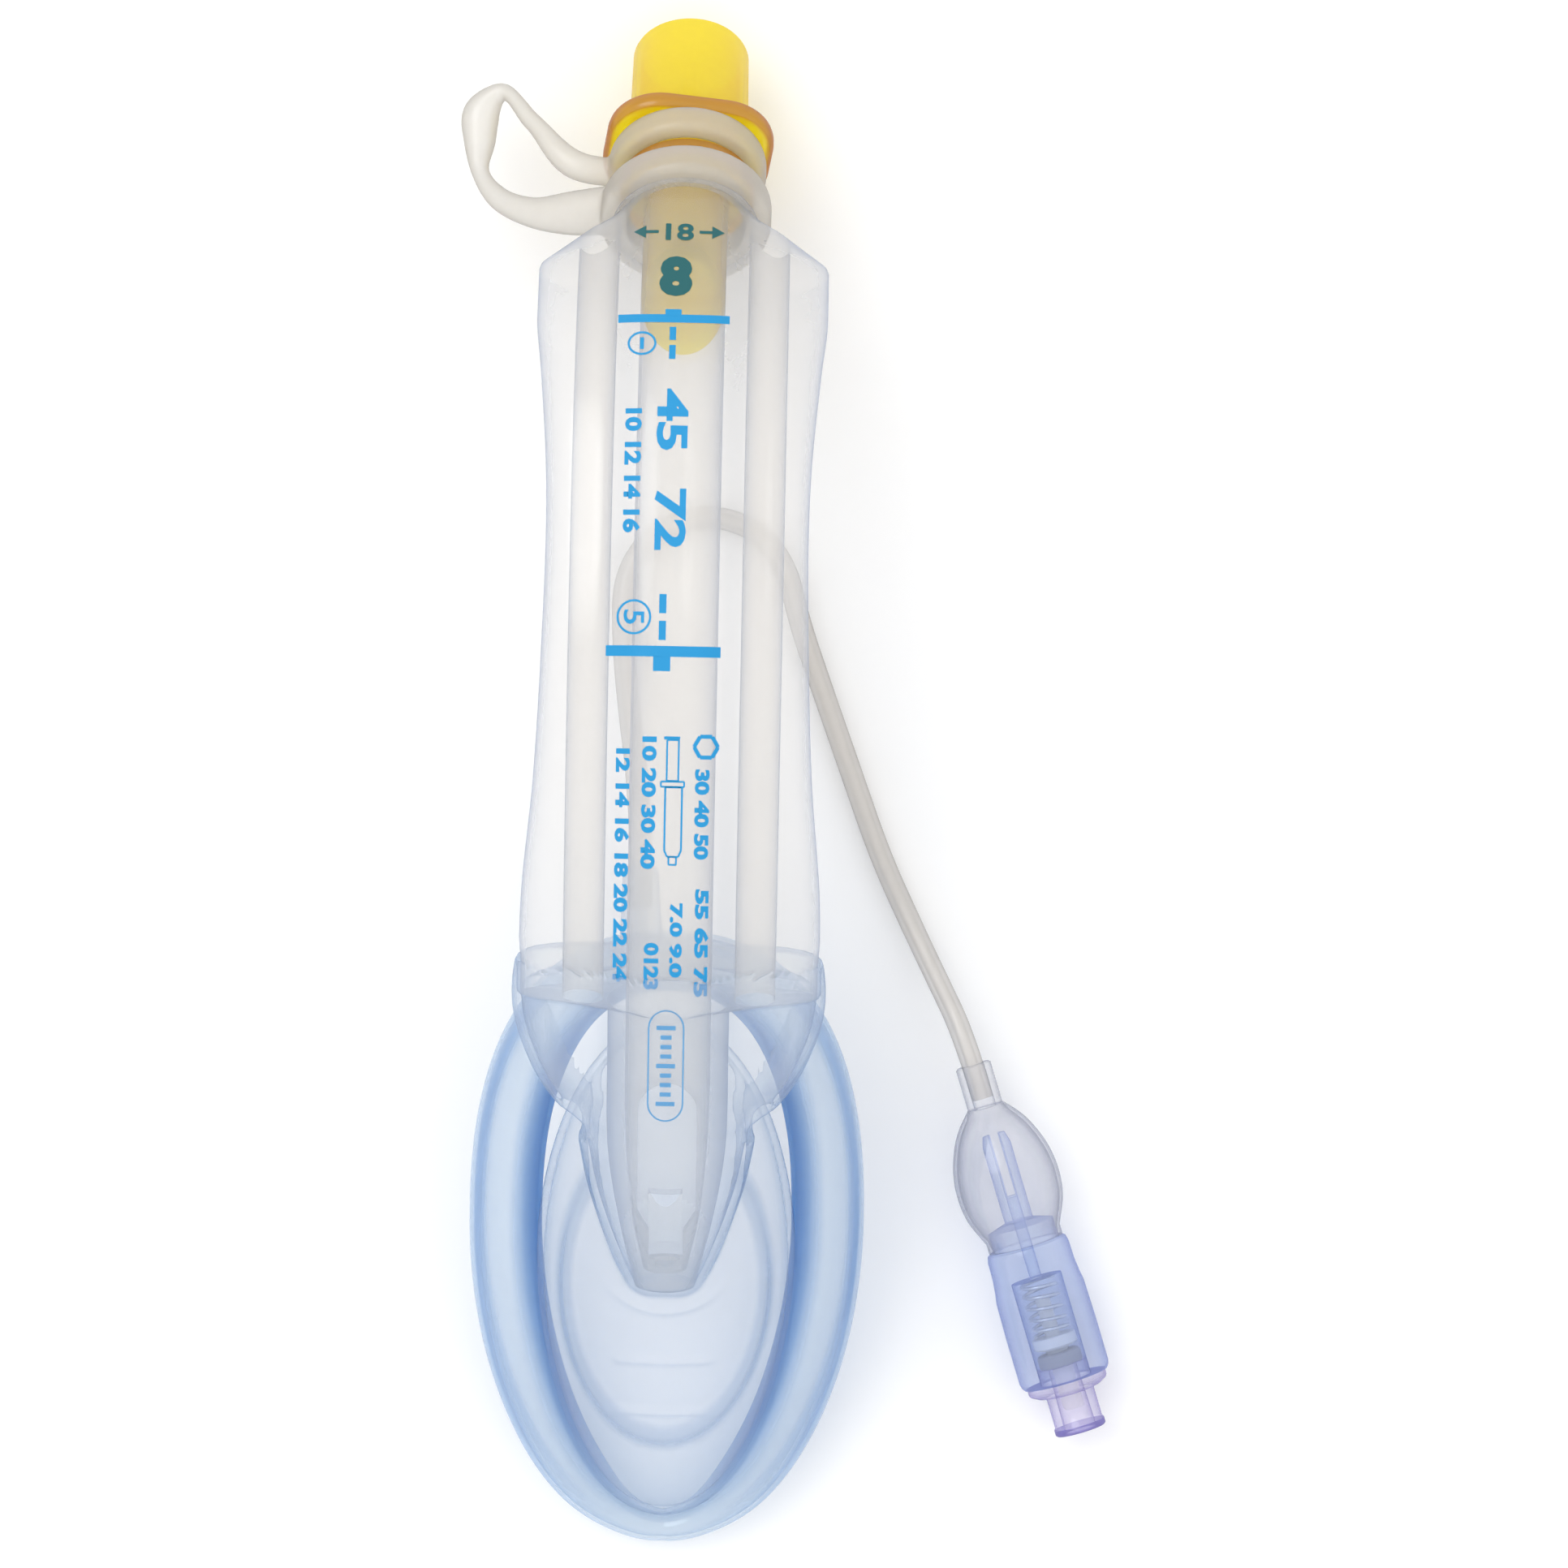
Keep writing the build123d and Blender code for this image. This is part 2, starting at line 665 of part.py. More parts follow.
def main():
    os.makedirs("parts", exist_ok=True)
    ring = cuff_bar(0.0)
    envelope = airway_envelope()
    nodes = {
        "airway_body": airway_body(),
        "mask_shell": mask_shell(envelope, ring),
        "cuff": cuff(),
        "connector": connector(),
        "connector_tether": connector_tether(),
        "inflation_port": inflation_port(ring),
        "inflation_line": inflation_line(),
        "pilot_balloon": pilot_balloon(),
        "valve_housing": valve_housing(),
        "valve_luer": valve_luer(),
        "valve_plunger": valve_plunger(),
        "valve_seal": valve_seal(),
        "valve_spring": valve_spring(),
    }
    for name, solid in nodes.items():
        export_step(Pos(SIDE_SHIFT, 0, 0) * solid, f"parts/{name}.step")


main()
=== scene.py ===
import math
from contextlib import contextmanager

import bmesh
import bpy
import numpy as np
from mathutils import Matrix, Vector


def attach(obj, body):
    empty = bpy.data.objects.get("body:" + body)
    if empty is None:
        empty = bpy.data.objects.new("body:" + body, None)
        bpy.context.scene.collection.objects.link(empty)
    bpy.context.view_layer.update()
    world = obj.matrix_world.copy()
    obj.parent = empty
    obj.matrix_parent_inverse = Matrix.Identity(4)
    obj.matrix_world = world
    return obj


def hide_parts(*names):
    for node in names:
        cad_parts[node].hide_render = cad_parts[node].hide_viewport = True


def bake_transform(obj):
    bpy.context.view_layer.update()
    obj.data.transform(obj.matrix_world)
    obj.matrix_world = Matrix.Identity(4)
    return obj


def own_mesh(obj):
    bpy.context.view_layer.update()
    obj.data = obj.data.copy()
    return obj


# Places are in millimetres in the tube's own plane, as in the part, until place() turns them into metres.
MM = 0.001
SIDEWAYS = np.array([1.0, 0.0, 0.0])
SIDE_SHIFT = 1.9
BODY_COLUMNS = 144
ROUND_COLUMNS = 96
FINE_COLUMNS = 128

# The tube's centreline
APEX_Y = 18.0
MASK_SIDE_RADIUS = 150.0
MASK_SIDE_SLOPE = 22.0
UPPER_RADIUS = 100.0
UPPER_TURN = 12.0
NECK_RADIUS = 62.0
MACHINE_SLOPE = 40.0
TUBE_END_Y = 70.9

# The connector, along its own axis from the tube's shoulder
CONE_LENGTH = 15.6
CONE_TIP_RADIUS = 7.54
CONE_EDGE = 0.4
FLANGE_LOW = 13.0
FLANGE_HIGH = 15.6
CONNECTOR_REACH = FLANGE_HIGH + CONE_LENGTH

# The mask
MASK_SLOPE = 18.0
CUFF_TIP_Y = -97.6
CUFF_TIP_Z = 2.74
CUFF_WIDEST_Y = -57.0
CUFF_HALF_WIDTH = 20.85
CUFF_HEEL_Y = -23.0
BOWL_MID_Y = -62.5

# The balloon and valve
VALVE_TURN = 17.7
VALVE_DIP = 1.85
NECK_START = np.array([39.5, -36.2, 7.43])

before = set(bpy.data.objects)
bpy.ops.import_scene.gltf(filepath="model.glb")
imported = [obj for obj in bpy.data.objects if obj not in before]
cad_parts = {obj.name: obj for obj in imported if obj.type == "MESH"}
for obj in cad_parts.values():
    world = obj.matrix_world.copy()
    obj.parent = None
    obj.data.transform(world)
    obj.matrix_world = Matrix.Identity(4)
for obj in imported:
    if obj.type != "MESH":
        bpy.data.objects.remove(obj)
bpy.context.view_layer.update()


def sine(degrees):
    return math.sin(math.radians(degrees))


def cosine(degrees):
    return math.cos(math.radians(degrees))


def spine(y):
    """Height below the apex and slope of the tube's centreline at Y."""
    if y <= APEX_Y:
        reach = APEX_Y - y
        curved = MASK_SIDE_RADIUS * sine(MASK_SIDE_SLOPE)
        if reach <= curved:
            slope = math.degrees(math.asin(reach / MASK_SIDE_RADIUS))
            return -MASK_SIDE_RADIUS * (1 - cosine(slope)), slope
        drop = MASK_SIDE_RADIUS * (1 - cosine(MASK_SIDE_SLOPE))
        return -drop - (reach - curved) * math.tan(math.radians(MASK_SIDE_SLOPE)), MASK_SIDE_SLOPE
    reach = y - APEX_Y
    first = UPPER_RADIUS * sine(UPPER_TURN)
    if reach <= first:
        slope = math.degrees(math.asin(reach / UPPER_RADIUS))
        return -UPPER_RADIUS * (1 - cosine(slope)), -slope
    drop = UPPER_RADIUS * (1 - cosine(UPPER_TURN))
    turn_sine = sine(UPPER_TURN) + (reach - first) / NECK_RADIUS
    if turn_sine <= sine(MACHINE_SLOPE):
        slope = math.degrees(math.asin(turn_sine))
        return -drop - NECK_RADIUS * (cosine(UPPER_TURN) - cosine(slope)), -slope
    drop += NECK_RADIUS * (cosine(UPPER_TURN) - cosine(MACHINE_SLOPE))
    second = NECK_RADIUS * (sine(MACHINE_SLOPE) - sine(UPPER_TURN))
    drop += (reach - first - second) * math.tan(math.radians(MACHINE_SLOPE))
    return -drop, -MACHINE_SLOPE


RIM = CONE_TIP_RADIUS - CONE_EDGE
APEX_Z = RIM * cosine(MACHINE_SLOPE) + CONNECTOR_REACH * sine(MACHINE_SLOPE) - spine(TUBE_END_Y)[0]


def tube_at(y):
    """The tube's centre at Y, its upward direction and the direction towards the mask."""
    height, slope = spine(y)
    up = np.array([0.0, -sine(slope), cosine(slope)])
    ahead = np.array([0.0, -cosine(slope), -sine(slope)])
    return np.array([0.0, y, APEX_Z + height]), up, ahead


def across_tube(y, section):
    """Places the points (x, up) of a section square to the tube at Y."""
    middle, up, _ = tube_at(y)
    return middle + section[:, :1] * SIDEWAYS + section[:, 1:2] * up


def laid(points, start, across, up, along):
    """Places points (across, up, along) from a start, by three directions."""
    points = np.asarray(points, float)
    return start + points[:, :1] * across + points[:, 1:2] * up + points[:, 2:3] * along


MACHINE_AXIS = np.array([0.0, cosine(MACHINE_SLOPE), -sine(MACHINE_SLOPE)])
MACHINE_UP = np.array([0.0, sine(MACHINE_SLOPE), cosine(MACHINE_SLOPE)])
MACHINE_START = np.array([0.0, TUBE_END_Y, APEX_Z + spine(TUBE_END_Y)[0]])


def on_machine(points):
    """Places points (x, up, along) of the connector's own frame."""
    return laid(points, MACHINE_START, SIDEWAYS, MACHINE_UP, MACHINE_AXIS)


VALVE_AXIS = np.array(
    [sine(VALVE_TURN) * cosine(VALVE_DIP), -cosine(VALVE_TURN) * cosine(VALVE_DIP), -sine(VALVE_DIP)]
)
VALVE_SIDE = np.array([cosine(VALVE_TURN), sine(VALVE_TURN), 0.0])
VALVE_UP = np.cross(VALVE_SIDE, VALVE_AXIS)


def on_valve(points):
    """Places points (across, up, along) of the balloon's and valve's own frame."""
    return laid(points, NECK_START, VALVE_SIDE, VALVE_UP, VALVE_AXIS)


MASK_ALONG = np.array([0.0, cosine(MASK_SLOPE), sine(MASK_SLOPE)])
MASK_OUT = np.array([0.0, -sine(MASK_SLOPE), cosine(MASK_SLOPE)])


def on_mask(points, middle_y):
    """Places points (x, along, out) of the mask's plane, measured from a place on it."""
    height = CUFF_TIP_Z + (middle_y - CUFF_TIP_Y) * math.tan(math.radians(MASK_SLOPE))
    return laid(points, np.array([0.0, middle_y, height]), SIDEWAYS, MASK_ALONG, MASK_OUT)


def smooth_through(knots, at):
    """Values of a smooth curve through knots (place, value), at the given places."""
    places = np.array([k[0] for k in knots], float)
    values = np.array([k[1] for k in knots], float)
    slopes = np.gradient(values, places)
    for i, step in enumerate(np.diff(values)):
        if step == 0:
            slopes[i] = slopes[i + 1] = 0
    at = np.clip(at, places[0], places[-1])
    i = np.clip(np.searchsorted(places, at, side="right") - 1, 0, len(places) - 2)
    width = places[i + 1] - places[i]
    t = (at - places[i]) / width
    return (
        values[i] * (1 + 2 * t) * (1 - t) ** 2
        + slopes[i] * width * t * (1 - t) ** 2
        + values[i + 1] * t**2 * (3 - 2 * t)
        - slopes[i + 1] * width * t**2 * (1 - t)
    )


def value_at(knots, y):
    return float(smooth_through(knots, np.array([y]))[0])


def place(points):
    """From the tube's own plane in millimetres to the shared frame in metres."""
    return (np.asarray(points, float) + SIDE_SHIFT * SIDEWAYS) * MM


def unplaced(points):
    """From the shared frame in metres to the tube's own plane in millimetres."""
    return np.asarray(points, float) / MM - SIDE_SHIFT * SIDEWAYS


def linked(name, data):
    """A new object in the scene."""
    obj = bpy.data.objects.new(name, data)
    bpy.context.scene.collection.objects.link(obj)
    return obj


@contextmanager
def opened(obj):
    """The object's mesh for editing, written back afterwards."""
    work = bmesh.new()
    work.from_mesh(obj.data)
    yield work
    work.to_mesh(obj.data)
    work.free()


def evaluated_mesh(obj):
    """A new mesh as the object's curve, text or modifiers make it."""
    bpy.context.view_layer.update()
    graph = bpy.context.evaluated_depsgraph_get()
    return bpy.data.meshes.new_from_object(obj.evaluated_get(graph), depsgraph=graph)


def mesh_points(mesh):
    return np.array([v.co[:] for v in mesh.vertices])


def store_painted_shade(obj, values):
    """Keeps the painted shade at each point as the depth attribute, which deepens the material's tint."""
    depth = obj.data.attributes.new("depth", "FLOAT", "POINT")
    depth.data.foreach_set("value", values)


def new_object(name, vertices, faces, smooth=40.0):
    """A mesh object from points in millimetres, smooth apart from edges sharper than an angle."""
    mesh = bpy.data.meshes.new(name)
    mesh.from_pydata([tuple(v) for v in place(vertices)], [], [tuple(f) for f in faces])
    obj = linked(name, mesh)
    shade(obj, smooth)
    return obj


def shade(obj, degrees):
    """Smooth shading, with sharp edges past an angle."""
    with opened(obj) as work:
        for face in work.faces:
            face.smooth = True
        for edge in work.edges:
            if len(edge.link_faces) == 2:
                edge.smooth = edge.calc_face_angle(0.0) < math.radians(degrees)


def grid_faces(rows, columns, start=0, loop_rows=False, flip=False):
    """Quads over rows of closed rings, numbered from start."""
    faces = []
    last = rows if loop_rows else rows - 1
    for r in range(last):
        a, b = r * columns, ((r + 1) % rows) * columns
        for c in range(columns):
            d = (c + 1) % columns
            quad = (start + a + c, start + a + d, start + b + d, start + b + c)
            faces.append(quad[::-1] if flip else quad)
    return faces


def tube_mesh(name, rings, smooth=40.0):
    """A closed body through rings of points, with flat ends."""
    columns = len(rings[0])
    vertices = np.concatenate(rings)
    faces = grid_faces(len(rings), columns)
    faces += [tuple(range(columns))[::-1], tuple(range(len(vertices) - columns, len(vertices)))]
    obj = new_object(name, vertices, faces, smooth)
    point_outwards(obj)
    return obj


def point_outwards(obj):
    """Turns a closed mesh's faces outwards."""
    with opened(obj) as work:
        bmesh.ops.recalc_face_normals(work, faces=work.faces)


def circle(radius, columns=ROUND_COLUMNS, squash=1.0, lift=0.0):
    angles = np.arange(columns) * 2 * math.pi / columns
    return np.stack([radius * np.cos(angles), radius * squash * np.sin(angles) + lift], axis=1)


def turned(name, outline, where, columns=ROUND_COLUMNS, smooth=35.0):
    """A ring-shaped or solid body turned from a closed outline of (radius, along)."""
    rings = []
    for radius, along in outline:
        flat = circle(max(radius, 0.0005), columns)
        rings.append(where(np.column_stack([flat, np.full(columns, along)])))
    obj = new_object(name, np.concatenate(rings), grid_faces(len(rings), columns, loop_rows=True), smooth)
    with opened(obj) as work:
        bmesh.ops.remove_doubles(work, verts=work.verts, dist=2e-6)
        bmesh.ops.recalc_face_normals(work, faces=work.faces)
    shade(obj, smooth)
    return obj


def cut(obj, tools, operation="DIFFERENCE", smooth=40.0):
    """Applies booleans with the tools, which are then removed."""
    for tool in tools:
        step = obj.modifiers.new("cut", "BOOLEAN")
        step.operation = operation
        step.solver = "EXACT"
        step.object = tool
        bake_modifiers(obj)
        bpy.data.objects.remove(tool)
    shade(obj, smooth)
    return obj


def bake_modifiers(obj):
    """Replaces the object's mesh by what its modifiers make of it."""
    mesh = evaluated_mesh(obj)
    obj.modifiers.clear()
    old = obj.data
    obj.data = mesh
    bpy.data.meshes.remove(old)


BOX_FACES = [(0, 1, 3, 2), (4, 6, 7, 5), (0, 4, 5, 1), (2, 3, 7, 6), (0, 2, 6, 4), (1, 5, 7, 3)]


def block(name, corners):
    """A solid between eight corners, as a tool for a cut."""
    obj = new_object(name, corners, BOX_FACES)
    point_outwards(obj)
    return obj


def box_tool(name, where, low, high):
    """A box between two corners of a local frame."""
    corners = [(x, y, z) for x in (low[0], high[0]) for y in (low[1], high[1]) for z in (low[2], high[2])]
    return block(name, where(corners))


# The tube

WING_STATIONS = [
    (-27.0, 19.1), (-15.0, 18.9), (0.0, 17.6), (15.0, 16.9), (40.0, 16.8), (52.0, 17.8), (59.0, 18.5),
    (TUBE_END_Y, 18.5),
]
SHOULDER = [(-12.0, 23.0), (-7.5, 18.6), (-2.2, 13.0), (-0.6, 10.2), (0.0, 9.5)]
SNOUT_END_Y = -65.5
SNOUT_STATIONS = [(SNOUT_END_Y, 3.9, 2.9), (-57.0, 5.9, 5.0), (-48.0, 7.4, 6.6), (-36.0, 7.7, 7.4), (-26.9, 7.7, 7.7)]
NECK_OUTLINE = [(9.5, 0.0), (9.2, 0.3), (7.6, 0.3), (7.6, 4.7), (7.3, 5.0)]
WING_HALF_HEIGHT = 4.4
WING_POWER = 3.5
BARREL_RADIUS = 7.8
BARREL_SPREAD = 7.4
CHANNEL_X = 10.9
CHANNEL_RADIUS = 2.6
LUMEN_RADIUS = 5.4
LUMEN_END_Y = TUBE_END_Y + 8.0
LUMEN_STATIONS = [(-63.5, 2.8, 2.0), (-56.0, 4.3, 3.8), (-46.0, 5.2, 4.9), (-38.0, 5.4, 5.4), (LUMEN_END_Y, 5.4, 5.4)]


def column_angles():
    """Angles round the tube's section, half a step off its axes."""
    return (np.arange(BODY_COLUMNS) + 0.5) * 2 * math.pi / BODY_COLUMNS


def oval(half_width, half_height, lowered=0.0):
    angles = column_angles()
    return np.stack([half_width * np.cos(angles), half_height * np.sin(angles) - lowered], axis=1)


def winged(half_width, half_height, barrel):
    """Outline of the tube with a wing on each side."""
    across = np.cos(column_angles())
    wing = half_height * np.sqrt(np.maximum(0.0, 1 - np.abs(across) ** WING_POWER))
    bump = (barrel - half_height) * np.exp(-((across * half_width / BARREL_SPREAD) ** 4))
    return np.stack([across * half_width, np.sign(np.sin(column_angles())) * (wing + bump)], axis=1)


def sizes_at(stations, y):
    """Each size of the stations (Y, sizes) at Y."""
    return [value_at([(s[0], s[i]) for s in stations], y) for i in range(1, len(stations[0]))]


def tube_half_width(y):
    width = value_at(WING_STATIONS, y)
    along = (y - TUBE_END_Y) / cosine(MACHINE_SLOPE)
    if along > SHOULDER[0][0]:
        width = min(width, float(np.interp(along, *zip(*SHOULDER))))
    return width


def tube_rings(grown=0.0, slimmer=0.0):
    """Rings along the whole outside of the tube, from the snout's end to the neck's.

    slimmer narrows the stretch that the mask's heel covers."""
    rings = []
    for y in np.linspace(SNOUT_END_Y, -27.6, 60):
        w, h = sizes_at(SNOUT_STATIONS, y)
        rings.append(across_tube(y, oval(w + grown, h + grown, (BARREL_RADIUS - h) * 0.45)))
    for y in (*np.linspace(-27.0, 60.0, 110), *np.linspace(60.6, TUBE_END_Y, 36)):
        covered = min(1.0, max(0.0, (-20.0 - y) / 3.0))
        more = grown - slimmer * covered
        section = winged(tube_half_width(y) + more, WING_HALF_HEIGHT + more, BARREL_RADIUS + more)
        rings.append(across_tube(y, section))
    for radius, along in NECK_OUTLINE:
        rings.append(on_machine(np.column_stack([oval(radius, radius), np.full(BODY_COLUMNS, along)])))
    return rings


def channel_tool(side, end=TUBE_END_Y + 3.0):
    rings = []
    for y in np.arange(-45.0, end, 1.5):
        ring = circle(CHANNEL_RADIUS, 48)
        ring[:, 0] += side * CHANNEL_X
        rings.append(across_tube(y, ring))
    return tube_mesh("channel_tool", rings)


def lumen_tool():
    """The airway's passage, from beyond the neck to the snout's outlet."""
    rings = []
    for y in np.linspace(LUMEN_STATIONS[0][0], LUMEN_END_Y, 130):
        w, h = sizes_at(LUMEN_STATIONS, y)
        rings.append(across_tube(y, circle(w, ROUND_COLUMNS, h / w, (h - LUMEN_RADIUS) * 0.75)))
    return tube_mesh("lumen_tool", rings)


def on_snout(y):
    """Function that places points (x, up, towards the tip) about the tube's centre at Y."""
    middle, up, ahead = tube_at(y)
    return lambda points: laid(points, middle, SIDEWAYS, up, ahead)


def keyhole_tool():
    """The outlet's keyhole, cut down through the snout's underside."""
    outline = [(3.8 * cosine(angle), -7.0 - 3.0 * sine(angle)) for angle in np.linspace(0, 180, 24)]
    outline += [(-3.8, 7.5), (-2.2, 10.5), (-2.2, 14.0), (2.2, 14.0), (2.2, 10.5), (3.8, 7.5)]
    where = on_snout(-50.0)
    return tube_mesh("keyhole_tool", [where([(x, up, ahead) for x, ahead in outline]) for up in (-14.0, -0.6)])


def airway_body():
    body = tube_mesh("airway_tube", tube_rings(slimmer=0.25))
    window = box_tool("window_tool", on_snout(-54.0), (-2.2, 3.4, -3.8), (2.2, 12.0, 3.8))
    return cut(body, [lumen_tool(), channel_tool(-1), channel_tool(1), keyhole_tool(), window], smooth=35.0)


# The mask


def ring_point(turn):
    """Point of the cuff's centreline in the mask plane, turn going once round from the tip."""
    half = (turn % 360.0) - 90.0
    side = 1.0
    if half > 90.0:
        half = 180.0 - half
        side = -1.0
    if half < 0:
        power, reach = 1.9, (CUFF_WIDEST_Y - CUFF_TIP_Y) / cosine(MASK_SLOPE)
    else:
        power, reach = 2.4, (CUFF_HEEL_Y - CUFF_WIDEST_Y) / cosine(MASK_SLOPE)
    across = side * CUFF_HALF_WIDTH * max(0.0, cosine(half)) ** (2 / power)
    along = math.copysign(reach * abs(sine(half)) ** (2 / power), half)
    return across, along, half


CUFF_HALF_WIDTHS = [
    (-90, 2.0), (-76, 2.5), (-58, 3.8), (-32, 4.6), (0, 4.7), (32, 4.7), (58, 4.4), (78, 4.0), (90, 3.8)
]
CUFF_HALF_HEIGHTS = [
    (-90, 2.5), (-76, 3.2), (-58, 4.6), (-32, 5.2), (0, 5.3), (32, 5.2), (58, 5.0), (78, 4.3), (90, 3.9)
]
# How strong the cuff's painted shade is round the ring, by turn from the tip
CUFF_SHADE_STRENGTH = [(-90, 0.05), (-74, 0.12), (-52, 0.7), (-35, 1.0), (30, 1.0), (60, 0.6), (90, 0.4)]
CUFF_WALL = 0.6
CUFF_ROWS = 220
CUFF_COLUMNS = 64


def even_turns(count):
    """Turns that step evenly along the cuff's centreline."""
    fine = np.linspace(0.0, 360.0, 1441)
    points = np.array([ring_point(t)[:2] for t in fine])
    lengths = np.concatenate([[0.0], np.cumsum(np.hypot(*np.diff(points, axis=0).T))])
    return np.interp(np.linspace(0.0, lengths[-1], count, endpoint=False), lengths, fine)


def cuff_surface(thinner):
    points = np.array([ring_point(t) for t in even_turns(CUFF_ROWS)])
    path = points[:, :2]
    tangent = np.roll(path, -1, axis=0) - np.roll(path, 1, axis=0)
    tangent /= np.linalg.norm(tangent, axis=1)[:, None]
    outward = np.stack([tangent[:, 1], -tangent[:, 0]], axis=1)
    half_widths = smooth_through(CUFF_HALF_WIDTHS, points[:, 2]) - thinner
    half_heights = smooth_through(CUFF_HALF_HEIGHTS, points[:, 2]) - thinner
    flat = circle(1.0, CUFF_COLUMNS)
    rings = []
    for middle, away, wide, high in zip(path, outward, half_widths, half_heights):
        ring = np.column_stack([middle + flat[:, :1] * wide * away, flat[:, 1] * high])
        rings.append(on_mask(ring, CUFF_WIDEST_Y))
    return np.concatenate(rings)


def cuff():
    """The inflated ring: its outside and the inside of its wall."""
    outer, inner = cuff_surface(0.0), cuff_surface(CUFF_WALL)
    faces = grid_faces(CUFF_ROWS, CUFF_COLUMNS, loop_rows=True)
    faces += grid_faces(CUFF_ROWS, CUFF_COLUMNS, start=len(outer), loop_rows=True, flip=True)
    obj = new_object("cuff_ring", np.concatenate([outer, inner]), faces, 60.0)
    face_out_from_wall(obj, len(outer))
    # Painted shade, the same on both skins
    store_painted_shade(obj, np.tile(cuff_painted_shade(), 2))
    return obj


def cuff_painted_shade():
    """Painted shade: a deeper blue, strong on the ring's inner side and a thin line on its outer side, where the
    thick wall and the light darken it.
    """
    half = np.array([ring_point(t)[2] for t in even_turns(CUFF_ROWS)])
    strength = smooth_through(CUFF_SHADE_STRENGTH, half)
    lean = np.cos(np.arange(CUFF_COLUMNS) * 2 * math.pi / CUFF_COLUMNS)
    inner = np.clip((-0.05 - lean) / 0.95, 0.0, 1.0) ** 1.3
    outer = 0.45 * np.exp(-(((lean - 0.78) / 0.12) ** 2))
    return (strength[:, None] * (inner + outer)[None, :] * 0.85).ravel()


def face_out_from_wall(obj, outer_count):
    """Turns the outer skin's faces out and the inner skin's faces in, by the sign of each skin's volume."""
    with opened(obj) as work:
        volumes = {True: 0.0, False: 0.0}
        for face in work.faces:
            outside = face.verts[0].index < outer_count
            volumes[outside] += face.calc_center_median().dot(face.normal) * face.calc_area()
        for face in work.faces:
            outside = face.verts[0].index < outer_count
            if (volumes[outside] > 0) != outside:
                face.normal_flip()


BOWL_HALF_WIDTH = 17.4
BOWL_HALF_LENGTH = 35.6
BOWL_HEIGHT = 10.0
BOWL_WALL = 1.1
RIDGES = (-71.9, -79.0)
RIDGE_HEIGHT = 0.55
RIDGE_HALF_LENGTH = 6.2
STEP_HALF_LENGTH = 28.4
STEP_SHARE = 0.74
STEP_HEIGHT = 0.7
ARC_ALONG = 7.5
ARC_RADIUS = 10.2


def bowl_step(x, along):
    """Share of the bowl's width at which a place lies, for the step that runs round in it."""
    return np.sqrt((x / BOWL_HALF_WIDTH) ** 2 + (along / STEP_HALF_LENGTH) ** 2)


def bowl_height(x, along, thinner):
    """Height of the bowl's back over the mask plane."""
    wide, long, high = BOWL_HALF_WIDTH - thinner, BOWL_HALF_LENGTH - thinner, BOWL_HEIGHT - thinner
    share = np.sqrt((x / wide) ** 2 + (along / long) ** 2)
    height = high * np.sqrt(np.maximum(0.0, 1 - share**2))
    if thinner == 0.0:
        for ridge in RIDGES:
            crest = np.exp(-(((along - (ridge - BOWL_MID_Y) / cosine(MASK_SLOPE)) / 0.4) ** 2))
            height = height + RIDGE_HEIGHT * crest / (1 + np.exp((np.abs(x) - RIDGE_HALF_LENGTH) * 4))
        height = height + STEP_HEIGHT * np.exp(-(((bowl_step(x, along) - STEP_SHARE) / 0.04) ** 2))
        crest = np.exp(-(((np.hypot(x, along - ARC_ALONG) - ARC_RADIUS) / 0.5) ** 2))
        height = height + STEP_HEIGHT * crest / (1 + np.exp((along + 1.0) * 1.2))
    return height


def bowl_solid(name, thinner, bottom):
    """The bowl's outside or inside as a solid that ends flat at a height over the mask plane."""
    rows, columns = 100, 168
    points = [np.zeros((1, 2))]
    for r in range(1, rows + 1):
        ring = circle(1.0, columns) * sine(76.0) * r / rows
        ring[:, 0] *= BOWL_HALF_WIDTH - thinner
        ring[:, 1] *= BOWL_HALF_LENGTH - thinner
        points.append(ring)
    flat = np.concatenate(points)
    height = bowl_height(flat[:, 0], flat[:, 1], thinner)
    skin = on_mask(np.column_stack([flat, height]), BOWL_MID_Y)
    edge = len(flat) - columns
    rim = on_mask(np.column_stack([flat[edge:], np.full(columns, bottom)]), BOWL_MID_Y)
    faces = [(0, 1 + c, 1 + (c + 1) % columns) for c in range(columns)]
    faces += grid_faces(rows + 1, columns, start=1)
    faces.append(tuple(range(len(flat), len(flat) + columns)))
    obj = new_object(name, np.concatenate([skin, rim]), faces, 40.0)
    point_outwards(obj)
    return obj


# Stations of the heel and neck: Y, half width, wing half height, barrel, depth below the axis, how far lowered
HEEL_STATIONS = [
    (-66.6, 3.6, 2.6, 2.7, 5.0, 2.6), (-65.6, 4.7, 3.5, 3.6, 6.0, 2.4),
    (-63.0, 6.0, 4.6, 4.8, 7.0, 1.9), (-59.0, 7.6, 5.8, 6.3, 7.0, 1.2),
    (-55.0, 9.0, 6.2, 7.4, 7.0, 0.7), (-51.0, 10.2, 6.0, 8.2, 7.0, 0.3),
    (-46.0, 11.2, 5.6, 8.7, 7.0, 0.0), (-42.6, 11.9, 5.2, 8.8, 7.4, 0.0),
    (-41.0, 13.9, 5.0, 8.8, 8.0, 0.0), (-38.0, 16.3, 5.1, 8.8, 8.4, 0.0),
    (-34.0, 18.3, 5.2, 8.8, 8.4, 0.0), (-30.0, 19.6, 5.2, 8.8, 8.4, 0.0),
    (-24.5, 19.8, 5.1, 8.6, 8.4, 0.0), (-22.5, 19.5, 4.8, 8.2, 7.4, 0.0),
]


